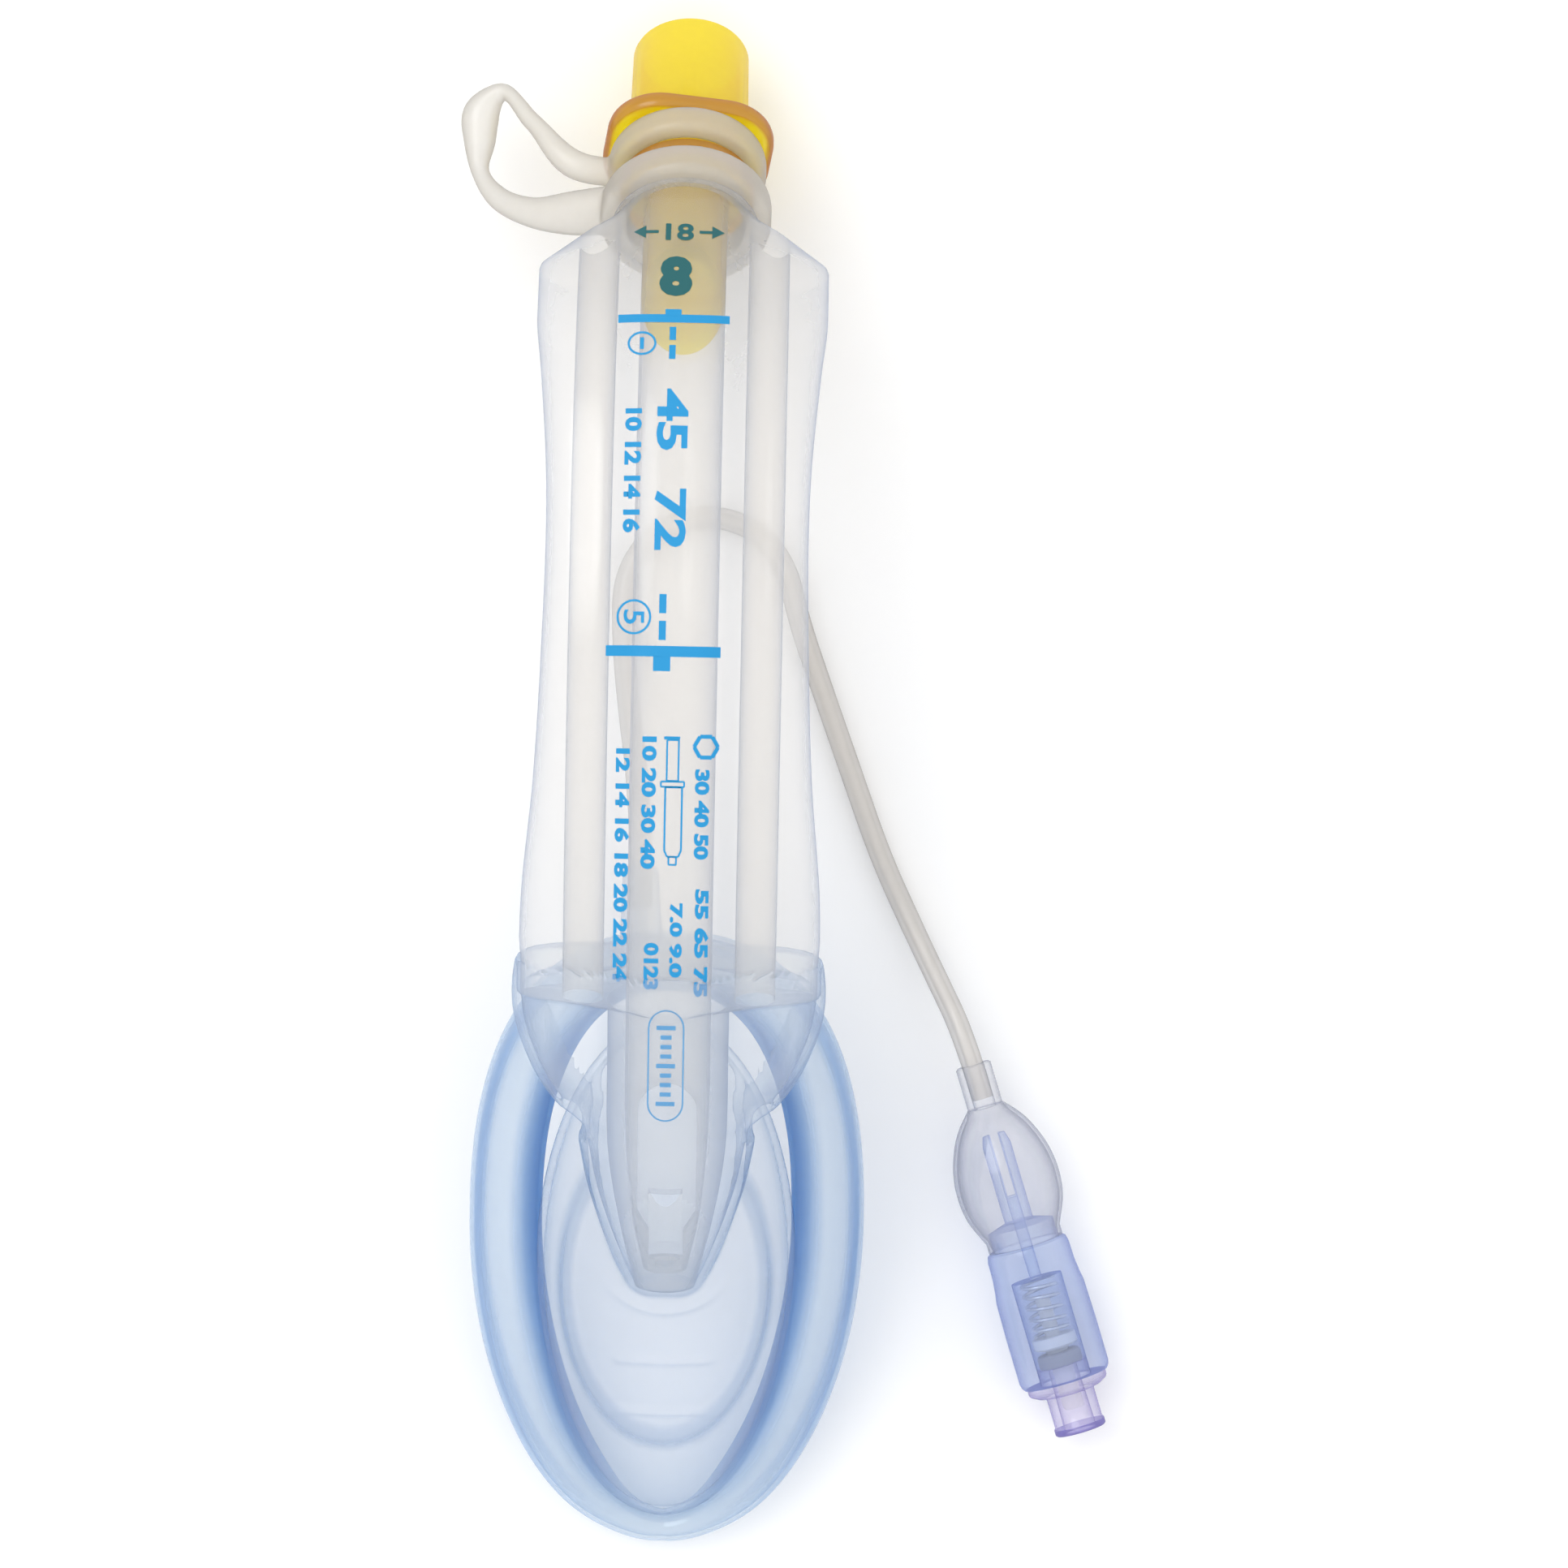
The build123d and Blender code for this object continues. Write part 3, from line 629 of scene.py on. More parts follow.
def heel_solid(name, start, end, thinner, deeper=0.0):
    """The mask's heel and the funnel round the snout, as a solid between two places."""
    rings = []
    for y in np.linspace(start, end, int(abs(end - start) / 0.5) + 2):
        width, wing, barrel, depth, lowered = sizes_at(HEEL_STATIONS, y)
        section = winged(width - thinner, wing - thinner, barrel - thinner)
        lower = section[:, 1] < 0
        flat = 1 - np.abs(section[:, 0] / (width - thinner)) ** 6
        section[lower, 1] = -(depth + deeper) * np.sqrt(np.maximum(0.0, flat[lower]))
        section[:, 1] -= lowered
        rings.append(across_tube(y, section))
    return tube_mesh(name, rings)


def mask_shell():
    """The bowl with its heel and funnel, melted into one moulding."""
    shell = bowl_solid("mask_moulding", 0.0, 1.4)
    hollow = bowl_solid("hollow_tool", BOWL_WALL, -6.0)
    funnel = heel_solid("funnel_tool", -65.6, -26.0, 1.2, 0.5)
    tube = tube_mesh("tube_tool", tube_rings(0.25))
    cut(shell, [heel_solid("heel_tool", HEEL_STATIONS[0][0], HEEL_STATIONS[-1][0], 0.0)], "UNION")
    cut(shell, [hollow, funnel, tube, channel_tool(-1, end=-20.0), channel_tool(1, end=-20.0)])
    melt(shell, 0.32, 4)
    # Painted shade: a grey band along the step round the bowl's lower part
    points = unplaced(mesh_points(shell.data)) - on_mask([(0.0, 0.0, 0.0)], BOWL_MID_Y)
    step = bowl_step(points[:, 0], points @ MASK_ALONG)
    low = points @ MASK_OUT < 9.5
    store_painted_shade(shell, np.where(low, 0.30 * np.exp(-(((step - STEP_SHARE - 0.01) / 0.06) ** 4)), 0.0))
    return shell


def melt(obj, voxel, turns):
    """Rounds a union's corners by remeshing and relaxing it."""
    remesh = obj.modifiers.new("remesh", "REMESH")
    remesh.mode = "VOXEL"
    remesh.voxel_size = voxel * MM
    relax = obj.modifiers.new("relax", "SMOOTH")
    relax.factor = 0.6
    relax.iterations = turns
    bake_modifiers(obj)
    shade(obj, 80.0)
    return obj


# The connector and its tether


STEM_RADIUS = 5.35
STEM_END = -17.0
BORE_RADIUS = 6.5
PLATE = {"half_width": 10.8, "half_depth": 9.2, "corner": 7.0, "edge": 0.9, "turn": 8.0}
COLLAR_CORNER = 1.1


def connector():
    base = CONE_TIP_RADIUS + CONE_LENGTH / 80.0
    outline = [
        (4.3, STEM_END), (STEM_RADIUS, STEM_END), (STEM_RADIUS, 5.3), (8.3, 5.3), (8.6, 5.6), (8.6, 7.9),
        (8.3, 8.2), (7.4, 8.5), (7.4, 15.1), (base, 15.1), (base, 15.6),
        (CONE_TIP_RADIUS, CONNECTOR_REACH - CONE_EDGE), (CONE_TIP_RADIUS - 0.12, CONNECTOR_REACH - 0.12),
        (RIM, CONNECTOR_REACH), (BORE_RADIUS, CONNECTOR_REACH), (BORE_RADIUS, 11.0), (4.3, 5.3),
    ]
    obj = turned("connector_body", outline, on_machine, FINE_COLUMNS, 30.0)
    cut(obj, [grip_plate()], "UNION", 30.0)
    bore_outline = [(0.0, 9.0), (BORE_RADIUS, 9.0), (BORE_RADIUS, 40.0), (0.0, 40.0)]
    bore = turned("bore_tool", bore_outline, on_machine, FINE_COLUMNS)
    return cut(obj, [bore, bevel_tool()], smooth=30.0)


def painted_rim_shade(obj):
    """Paints shade on the rims of the plate and lip, where the plastic looks deepest at a slant, and fainter shade on
    the stem's sides.
    """
    points = unplaced(mesh_points(obj.data)) - MACHINE_START
    along = points @ MACHINE_AXIS
    away = np.linalg.norm(points - along[:, None] * MACHINE_AXIS, axis=1)
    plate = (along > 13.1) & (along < 15.55) & (away > 8.6)
    lip = (along > 5.4) & (along < 8.1) & (away > 8.2)
    # Painted shade on the stem's sides
    stem = np.where((along < 5.0) & (np.abs(points[:, 0]) > 4.2), 0.25, 0.0)
    store_painted_shade(obj, np.maximum(0.75 * (plate | lip), stem))
    return obj


def grip_plate():
    """The rounded plate under the cone, turned a little about the connector's axis."""
    corner, edge, turn = PLATE["corner"], PLATE["edge"], PLATE["turn"]
    heights = [(edge, FLANGE_LOW)]
    heights += [(edge * (1 - sine(a)), FLANGE_LOW + edge * (1 - cosine(a))) for a in (30, 60, 90)]
    heights += [(edge * (1 - cosine(a)), FLANGE_HIGH - edge * (1 - sine(a))) for a in (0, 30, 60)]
    rings = []
    for inset, along in [*heights, (edge, FLANGE_HIGH)]:
        ring = []
        for quarter, (sx, sy) in enumerate(((1, 1), (-1, 1), (-1, -1), (1, -1))):
            for a in np.linspace(0, 90, 20):
                angle = quarter * 90 + a
                x = sx * (PLATE["half_width"] - corner) + (corner - inset) * cosine(angle)
                y = sy * (PLATE["half_depth"] - corner) + (corner - inset) * sine(angle)
                ring.append((x * cosine(turn) + y * sine(turn), y * cosine(turn) - x * sine(turn), along))
        rings.append(on_machine(ring))
    return tube_mesh("plate_tool", rings)


def bevel_tool():
    """A block that cuts the stem's end on a slant, shorter on the outer curve's side."""
    short = -8.0
    slope = (short - STEM_END) / (2 * STEM_RADIUS)
    corners = [
        (x, up, along) for x in (-9.0, 9.0) for up in (-9.0, 9.0)
        for along in ((short + STEM_END) / 2 + slope * up, -30.0)
    ]
    return block("bevel_tool", on_machine(corners))


STRAP = [
    (-8.8, 78.4, 19.3, 1.9, 1.3), (-14.2, 79.3, 19.4, 1.9, 1.3), (-20.3, 85.2, 16.0, 1.2, 1.2),
    (-24.7, 89.2, 12.8, 1.25, 1.25), (-27.0, 86.6, 12.0, 2.4, 2.2), (-27.2, 82.8, 12.6, 2.1, 2.0),
    (-27.0, 78.8, 14.0, 1.2, 1.2), (-24.6, 75.3, 16.4, 1.5, 1.3), (-20.0, 73.2, 19.3, 2.0, 1.4),
    (-14.6, 73.0, 21.8, 2.9, 1.5), (-9.6, 73.4, 23.7, 3.2, 1.5),
]


def collar_outline(inner, outer, low, high):
    low, high = low + COLLAR_CORNER, high - COLLAR_CORNER
    inner, outer = inner + COLLAR_CORNER, outer - COLLAR_CORNER
    return [
        (r + COLLAR_CORNER * cosine(quarter * 90 + a), s + COLLAR_CORNER * sine(quarter * 90 + a))
        for quarter, (r, s) in enumerate(((outer, high), (inner, high), (inner, low), (outer, low)))
        for a in np.linspace(0, 90, 6)
    ]


def square_to(direction):
    """A level direction and an upward one, square to a given one."""
    side = np.cross(direction, [0.0, 0.0, 1.0])
    side /= np.linalg.norm(side)
    return side, np.cross(side, direction)


def tether():
    """The collars and strap, melted into one soft moulding."""
    knots = np.array(STRAP)
    lengths = np.concatenate([[0.0], np.cumsum(np.linalg.norm(np.diff(knots[:, :3], axis=0), axis=1))])
    at = np.linspace(0.0, lengths[-1], 140)
    path = np.stack([smooth_through(list(zip(lengths, knots[:, i])), at) for i in range(5)], axis=1)
    tangent = np.gradient(path[:, :3], axis=0)
    flat = circle(1.0, 32)
    rings = []
    for point, direction in zip(path, tangent):
        direction = direction / np.linalg.norm(direction)
        side, up = square_to(direction)
        rings.append(point[:3] + flat[:, :1] * point[3] * side + flat[:, 1:2] * point[4] * up)
    strap = tube_mesh("connector_strap", rings)
    low = turned("collar_low", collar_outline(7.66, 11.0, 0.3, 5.0), on_machine, FINE_COLUMNS)
    high = turned("collar_high", collar_outline(7.46, 10.2, 8.5, 12.7), on_machine, FINE_COLUMNS)
    return melt(cut(strap, [low, high], "UNION"), 0.28, 5)


# The inflation line, balloon and valve

LINE_ROUTE = [
    (-4.0, -16.0, 24.4), (-4.2, -8.0, 22.2), (-5.0, 1.0, 16.5), (-6.4, 9.5, 9.0), (-7.5, 18.5, 3.0),
    (-7.6, 27.0, 1.5), (-3.8, 32.7, 1.5), (2.5, 35.3, 1.5), (9.2, 33.9, 1.5), (13.8, 28.9, 1.5),
    (15.6, 21.5, 1.5), (18.6, 13.2, 1.5), (22.9, 1.6, 1.5), (26.9, -9.2, 1.5), (30.7, -17.2, 1.7),
    (34.5, -24.9, 4.2),
]
LINE_RADIUS = 1.45
LINE_BORE_RADIUS = 0.8
LINE_IN_NECK = 4.6
LINE_COLUMNS = 40


def route_points():
    ends = on_valve([(0.0, 0.0, -4.0), (0.0, 0.0, LINE_IN_NECK)])
    return np.concatenate([np.array(LINE_ROUTE), ends])


def line_centre():
    """Points read from the route's own NURBS spline."""
    curve = bpy.data.curves.new("route", "CURVE")
    curve.dimensions = "3D"
    curve.resolution_u = 12
    spline = curve.splines.new("NURBS")
    route = place(route_points())
    spline.points.add(len(route) - 1)
    for point, at in zip(spline.points, route):
        point.co = (*at, 1.0)
    spline.order_u = 3
    spline.use_endpoint_u = True
    obj = linked("route", curve)
    points = mesh_points(evaluated_mesh(obj))
    bpy.data.objects.remove(obj)
    return points


def rings_along(points, radius, columns=LINE_COLUMNS):
    """Circles square to a path in metres, without twist, in millimetres of the tube's own plane."""
    tangent = np.gradient(points, axis=0)
    tangent /= np.linalg.norm(tangent, axis=1)[:, None]
    side = np.cross(tangent[0], [0.0, 0.0, 1.0])
    rings = []
    flat = circle(radius * MM, columns)
    for point, direction in zip(points, tangent):
        side = side - direction * side.dot(direction)
        side /= np.linalg.norm(side)
        up = np.cross(direction, side)
        rings.append(unplaced(point + flat[:, :1] * side + flat[:, 1:2] * up))
    return rings


def inflation_line(points):
    """The thin tube with its bore, from the port into the balloon's neck."""
    rings = rings_along(points, LINE_RADIUS) + rings_along(points, LINE_BORE_RADIUS)[::-1]
    faces = grid_faces(len(rings), LINE_COLUMNS, loop_rows=True)
    obj = new_object("inflation_line_tube", np.concatenate(rings), faces)
    point_outwards(obj)
    return obj


BALLOON = [(2.35, 5.6), (4.1, 7.6), (6.05, 11.4), (6.9, 16.0), (6.5, 19.6), (5.0, 23.2)]


def pilot_balloon():
    at = np.linspace(BALLOON[0][1], BALLOON[-1][1], 60)
    radii = smooth_through([(along, radius) for radius, along in BALLOON], at)
    outer = [(2.1, 0.0), (2.35, 0.25), *zip(radii, at), (5.0, 24.5), (4.4, 24.5)]
    shrink = smooth_through([(5.6, 0.0), (7.0, 0.5), (22.0, 0.5), (23.2, 0.6)], at)
    inner = [(r - t, a + 0.15) for r, t, a in zip(radii, shrink, at) if r - t > 1.5 and a + 0.15 < 23.0]
    outline = outer + inner[::-1] + [(1.46, 5.9), (1.46, 0.0)]
    return turned("pilot_balloon_skin", outline, on_valve, ROUND_COLUMNS, 40.0)


SPRING_START = 29.2
LUER_RIM_START = 49.0
SMALL_COLUMNS = 64


def valve_housing():
    outline = [
        (0.8, 9.5), (1.5, 9.5), (1.9, 11.0), (1.9, 21.2), (4.4, 22.0), (4.4, 24.5), (4.9, 24.5), (5.3, 24.8),
        (5.5, 25.6), (5.55, 28.0), (5.75, 29.8), (5.95, 31.0), (6.05, 36.0), (6.05, 42.0), (5.9, 42.6),
        (5.6, 43.0), (3.4, 43.0), (3.4, SPRING_START), (0.8, SPRING_START),
    ]
    slot = box_tool("slot_tool", on_valve, (-0.55, -4.0, 9.0), (0.55, 4.0, 18.0))
    return cut(turned("valve_body", outline, on_valve), [slot], smooth=35.0)


def valve_luer():
    outline = [
        (1.9, 41.0), (3.38, 41.0), (3.38, 43.02), (5.3, 43.02), (5.3, 43.8), (5.1, 44.1), (4.2, 44.6), (3.3, 44.8),
        (3.2, 45.1), (3.2, 48.8), (3.4, 49.1), (3.4, 49.8), (3.2, 50.0), (2.2, 50.0), (2.12, 49.8),
    ]
    return turned("luer_port", outline, on_valve)


def valve_plunger():
    outline = [
        (0.0, 31.6), (0.8, 31.6), (0.95, 31.9), (1.0, 37.0), (2.8, 37.0), (2.9, 37.1), (2.9, 38.3), (2.7, 38.5),
        (1.5, 38.9), (1.4, 39.2), (1.4, 46.5), (1.2, 46.9), (0.8, 47.0), (0.0, 47.0),
    ]
    return turned("plunger", outline, on_valve, SMALL_COLUMNS)


def valve_seal():
    outline = [(1.42, 39.2), (2.5, 39.2), (2.8, 39.4), (2.9, 39.7), (2.9, 40.98), (1.42, 40.98)]
    return turned("seal_washer", outline, on_valve, SMALL_COLUMNS)


def valve_spring():
    """The coil under the plunger, with its turns closer at both ends."""
    end, turns, coil, wire = 36.95, 5.5, 2.25, 0.25
    t = np.linspace(0.0, 1.0, int(turns * 40))
    along = SPRING_START + wire + (end - SPRING_START - 2 * wire) * (0.35 * (3 * t**2 - 2 * t**3) + 0.65 * t)
    angle = t * turns * 2 * math.pi
    points = on_valve(np.stack([coil * np.cos(angle), coil * np.sin(angle), along], axis=1))
    return tube_mesh("spring_coil", rings_along(place(points), wire, 12), 60.0)


def inflation_port():
    start = np.array(LINE_ROUTE[0])
    axis = np.array(LINE_ROUTE[1]) - start
    axis /= np.linalg.norm(axis)
    side, up = square_to(axis)
    outline = [(0.8, -4.6), (2.75, -4.6), (2.3, 4.6), (2.1, 4.9), (1.5, 4.9), (1.46, 0.0), (0.8, 0.0)]
    return turned("line_port", outline, lambda points: laid(points, start, side, up, axis), SMALL_COLUMNS)


# The printed marks

INK_LIFT = 0.07
PRINT_CUTS = (0.4, 1.0)

# Bars: x, y, width, length
BLUE_BARS = [
    (-1.0, 58.34, 14.1, 1.05), (-1.05, 59.1, 2.05, 0.9), (-1.05, 56.4, 0.82, 1.7), (-1.05, 54.0, 0.82, 1.8),
    (-4.92, 55.1, 0.5, 1.5), (-1.5, 22.2, 0.9, 2.4), (-1.5, 18.85, 0.9, 2.4), (-1.38, 16.25, 14.4, 1.35),
    (-1.5, 14.7, 2.15, 1.85), (0.0, 5.45, 2.0, 0.4),
]
# Figures: text, x, y, height, length, boldness
BLUE_FIGURES = [
    ("10 12 14 16", -5.69, 38.9, 2.2, 15.7, 0.05), ("45  72", -0.83, 39.1, 4.0, 20.4, 0.03),
    ("5", -5.11, 20.5, 2.6, 1.8, 0.01), ("30 40 50", 3.85, -4.05, 1.85, 11.3, 0.05),
    ("55 65 75", 4.08, -20.2, 1.8, 13.6, 0.05), ("7.0 9.0", 0.88, -19.9, 1.65, 9.4, 0.05),
    ("10 20 30 40", -2.82, -2.7, 1.85, 16.6, 0.05), ("0123", -2.17, -23.2, 1.9, 5.9, 0.05),
    ("12 14 16 18 20 22 24", -6.12, -10.6, 1.85, 29.3, 0.05),
]
# Outlines of the syringe: points, line width
SYRINGE = [
    ([(-0.4, -9.4), (1.0, -9.4), (1.35, -8.6), (1.35, -0.7), (-0.75, -0.7), (-0.75, -8.6)], 0.24),
    ([(-0.6, 0.1), (0.85, 0.1), (0.85, 5.2), (-0.6, 5.2)], 0.22),
    ([(-1.3, -0.65), (1.6, -0.65), (1.6, 0.0), (-1.3, 0.0)], 0.22),
    ([(-0.2, -10.4), (0.75, -10.4), (0.75, -9.4), (-0.2, -9.4)], 0.22),
]
SCALE_X = -0.13
SCALE_TOP = -31.0
SCALE_END = -40.7
WIDTH_MARK = (-0.65, 69.8)


def top_of_tube(x, y):
    """Point on the top of the tube over a place in plan."""
    station = y
    for _ in range(4):
        wing = WING_HALF_HEIGHT * math.sqrt(max(0.0, 1 - abs(x / tube_half_width(station)) ** WING_POWER))
        up = wing + (BARREL_RADIUS - WING_HALF_HEIGHT) * math.exp(-((x / BARREL_SPREAD) ** 4)) + INK_LIFT
        station = y + up * sine(spine(station)[1])
    return across_tube(station, np.array([[x, up]]))[0]


def printed(name, work):
    """Lays flat shapes, drawn in plan, on the tube's top."""
    ends = [(min(v.co[i] for v in work.verts), max(v.co[i] for v in work.verts)) for i in (0, 1)]
    for i, step in enumerate(PRINT_CUTS):
        for at in np.arange(ends[i][0] + step / 2, ends[i][1], step):
            across = [float(i == 0), float(i == 1), 0.0]
            middle = [float(at) * part for part in across]
            geometry = work.verts[:] + work.edges[:] + work.faces[:]
            bmesh.ops.bisect_plane(work, geom=geometry, plane_co=middle, plane_no=across, dist=1e-5)
    for vertex in work.verts:
        vertex.co = place(top_of_tube(vertex.co.x, vertex.co.y))
    for face in work.faces:
        face.normal_update()
        if face.normal.z < 0:
            face.normal_flip()
    mesh = bpy.data.meshes.new(name)
    work.to_mesh(mesh)
    work.free()
    return linked(name, mesh)


def add_shape(work, points):
    work.faces.new([work.verts.new((x, y, 0.0)) for x, y in points])


def add_bar(work, x, y, wide, long):
    right, top = wide / 2, long / 2
    add_shape(work, [(x - right, y - top), (x + right, y - top), (x + right, y + top), (x - right, y + top)])


def round_points(x, y, radius, angles, high=None):
    high = radius if high is None else high
    return [(x + radius * cosine(a), y + high * sine(a)) for a in angles]


def add_ring(work, x, y, radius, line, columns=36):
    for c in range(columns):
        a, b = c * 360 / columns, (c + 1) * 360 / columns
        add_shape(work, round_points(x, y, radius, (a, b)) + round_points(x, y, radius - line, (b, a)))


def add_figures(work, text, x, y, high, long, bold, turn=-90.0):
    """Plain figures of a given height and length about a place, reading down the tube."""
    curve = bpy.data.curves.new("figures", "FONT")
    curve.body = text
    curve.offset = bold
    curve.resolution_u = 3
    obj = linked("figures", curve)
    mesh = evaluated_mesh(obj)
    points = mesh_points(mesh)
    low, top = points.min(axis=0), points.max(axis=0)
    grow = Matrix.Diagonal((long / (top - low)[0], high / (top - low)[1], 1.0, 1.0))
    spin = Matrix.Rotation(math.radians(turn), 4, "Z")
    mesh.transform(Matrix.Translation((x, y, 0.0)) @ spin @ grow @ Matrix.Translation(-Vector((low + top) / 2)))
    work.from_mesh(mesh)
    bpy.data.objects.remove(obj)


def add_outline(work, points, line):
    """A thin line round a closed outline."""
    for a, b in zip(points, points[1:] + points[:1]):
        run = math.hypot(b[0] - a[0], b[1] - a[1])
        off = (-(b[1] - a[1]) / run * line / 2, (b[0] - a[0]) / run * line / 2)
        add_shape(work, [(a[0] - off[0], a[1] - off[1]), (b[0] - off[0], b[1] - off[1]),
                         (b[0] + off[0], b[1] + off[1]), (a[0] + off[0], a[1] + off[1])])


def blue_print():
    work = bmesh.new()
    for bar in BLUE_BARS:
        add_bar(work, *bar)
    for figures in BLUE_FIGURES:
        add_figures(work, *figures)
    for outline, line in SYRINGE:
        add_outline(work, outline, line)
    add_outline(work, round_points(-4.92, 55.1, 1.7, range(0, 360, 12), 1.4), 0.28)
    add_ring(work, -5.11, 20.5, 2.2, 0.28)
    add_outline(work, round_points(4.25, 4.4, 1.5, range(0, 360, 60)), 0.5)
    ends = round_points(SCALE_X, SCALE_TOP, 2.2, range(0, 181, 15))
    ends += round_points(SCALE_X, SCALE_END, 2.2, range(180, 361, 15))
    add_outline(work, ends, 0.2)
    for i, y in enumerate(np.linspace(SCALE_TOP, SCALE_END, 9)):
        add_bar(work, SCALE_X, float(y), 2.4 if i % 4 == 0 else 1.4, 0.55)
    return printed("print_blue", work)


def teal_print():
    work = bmesh.new()
    middle, y = WIDTH_MARK
    add_figures(work, "18", middle + 0.1, y, 2.3, 3.6, 0.03, 0.0)
    for side in (-1, 1):
        add_bar(work, middle + side * 3.7, y, 2.2, 0.4)
        back = middle + side * 4.2
        add_shape(work, [(middle + side * 5.8, y), (back, y + 0.85), (back, y - 0.85)])
    add_figures(work, "8", -0.87, 63.9, 5.3, 4.2, 0.06, 0.0)
    return printed("print_teal", work)


# Materials


BUMP_DISTANCE = 0.0002
GRAIN = 0.03
GLOSS = 0.045


def material(name):
    made = bpy.data.materials.new(name)
    made.use_nodes = True
    nodes = made.node_tree.nodes
    shader = next(n for n in nodes if n.type == "BSDF_PRINCIPLED")
    return made, made.node_tree, shader


def feed(tree, socket, value):
    """Links a socket to another or sets it to a plain value."""
    if isinstance(value, bpy.types.NodeSocket):
        tree.links.new(value, socket)
    else:
        socket.default_value = value


def set_inputs(node, **values):
    """Sets a node's sockets, whose names are written with underscores for spaces."""
    for name, value in values.items():
        node.inputs[name.replace("_", " ")].default_value = value


def maths(tree, operation, *values):
    """A Math node's result from sockets and plain numbers."""
    made = tree.nodes.new("ShaderNodeMath")
    made.operation = operation
    for socket, value in zip(made.inputs, values):
        feed(tree, socket, value)
    return made.outputs[0]


def layered(tree, factor, under, over):
    """One shader over another."""
    made = tree.nodes.new("ShaderNodeMixShader")
    for socket, value in zip(made.inputs, (factor, under, over)):
        feed(tree, socket, value)
    return made.outputs[0]


def eased(tree, value, start, end, low, high):
    """A value that rises smoothly from low to high while a socket goes from start to end."""
    made = tree.nodes.new("ShaderNodeMapRange")
    made.interpolation_type = "SMOOTHSTEP"
    set_inputs(made, From_Min=start, From_Max=end, To_Min=low, To_Max=high)
    tree.links.new(value, made.inputs["Value"])
    return made.outputs["Result"]


def fine_bump(tree, shader, scale, strength):
    """A fine moulded surface, as bump from noise."""
    coordinates = tree.nodes.new("ShaderNodeTexCoord")
    noise = tree.nodes.new("ShaderNodeTexNoise")
    set_inputs(noise, Scale=scale, Detail=3.0)
    bump = tree.nodes.new("ShaderNodeBump")
    set_inputs(bump, Strength=strength, Distance=BUMP_DISTANCE)
    tree.links.new(coordinates.outputs["Object"], noise.inputs["Vector"])
    tree.links.new(noise.outputs["Fac"], bump.inputs["Height"])
    tree.links.new(bump.outputs["Normal"], shader.inputs["Normal"])
    return noise.outputs["Fac"]


def mixed(tree, factor, low, high):
    """A mix of two colours or values by a socket."""
    colours = hasattr(low, "__len__")
    mix = tree.nodes.new("ShaderNodeMix")
    mix.data_type = "RGBA" if colours else "FLOAT"
    sockets = {s.name: s for s in mix.inputs if s.enabled}
    sockets["A"].default_value = (*low, 1.0) if colours else low
    sockets["B"].default_value = (*high, 1.0) if colours else high
    tree.links.new(factor, sockets["Factor"])
    return next(s for s in mix.outputs if s.enabled)


def frosted(name, face, edge, veil, tint, rough=0.12, sharpness=1.3, faint=None):
    """Soft plastic that is clearer face on and turns to its edge colour where it is seen at a slant.

    veil is how much each skin hides face on and edge on, and tint is what it lets through then.
    faint weakens the slant's part where the painted shade, kept on the mesh as depth, adds to it."""
    made, tree, shader = material(name)
    nodes, links = tree.nodes, tree.links
    slant = nodes.new("ShaderNodeLayerWeight").outputs["Facing"]
    factor = maths(tree, "POWER", slant, sharpness)
    # Painted shade from the mesh's depth attribute darkens the colour towards the edge colour
    if faint is not None:
        painted_shade_attribute = nodes.new("ShaderNodeAttribute")
        painted_shade_attribute.attribute_name = "depth"
        factor = maths(tree, "ADD", maths(tree, "MULTIPLY", factor, faint), painted_shade_attribute.outputs["Fac"])
        factor.node.use_clamp = True
    noise = fine_bump(tree, shader, 600.0, 0.12)
    colour = mixed(tree, factor, face, edge)
    links.new(colour, shader.inputs["Base Color"])
    set_inputs(shader, Roughness=0.45)
    glow = nodes.new("ShaderNodeBsdfTranslucent")
    links.new(colour, glow.inputs["Color"])
    through = nodes.new("ShaderNodeBsdfTransparent")
    links.new(mixed(tree, factor, *tint), through.inputs["Color"])
    cloud = maths(tree, "MULTIPLY_ADD", noise, GRAIN, mixed(tree, factor, *veil))
    body = layered(tree, cloud, through.outputs[0], layered(tree, 0.5, shader.outputs[0], glow.outputs[0]))
    shine = nodes.new("ShaderNodeBsdfGlossy")
    set_inputs(shine, Roughness=rough, Color=(1.0, 1.0, 1.0, 1.0))
    strength = maths(tree, "MULTIPLY_ADD", maths(tree, "POWER", slant, 5.0), 0.25, GLOSS)
    outside = maths(tree, "SUBTRACT", 1.0, nodes.new("ShaderNodeNewGeometry").outputs["Backfacing"])
    top = layered(tree, maths(tree, "MULTIPLY", strength, outside), body, shine.outputs[0])
    output = next(n for n in nodes if n.type == "OUTPUT_MATERIAL")
    links.new(top, output.inputs["Surface"])
    return made


def plain(name, colour, rough, metal=0.0):
    """An opaque material."""
    made, tree, shader = material(name)
    set_inputs(shader, Base_Color=(*colour, 1.0), Roughness=rough, Metallic=metal)
    fine_bump(tree, shader, 1200.0, 0.1)
    return made


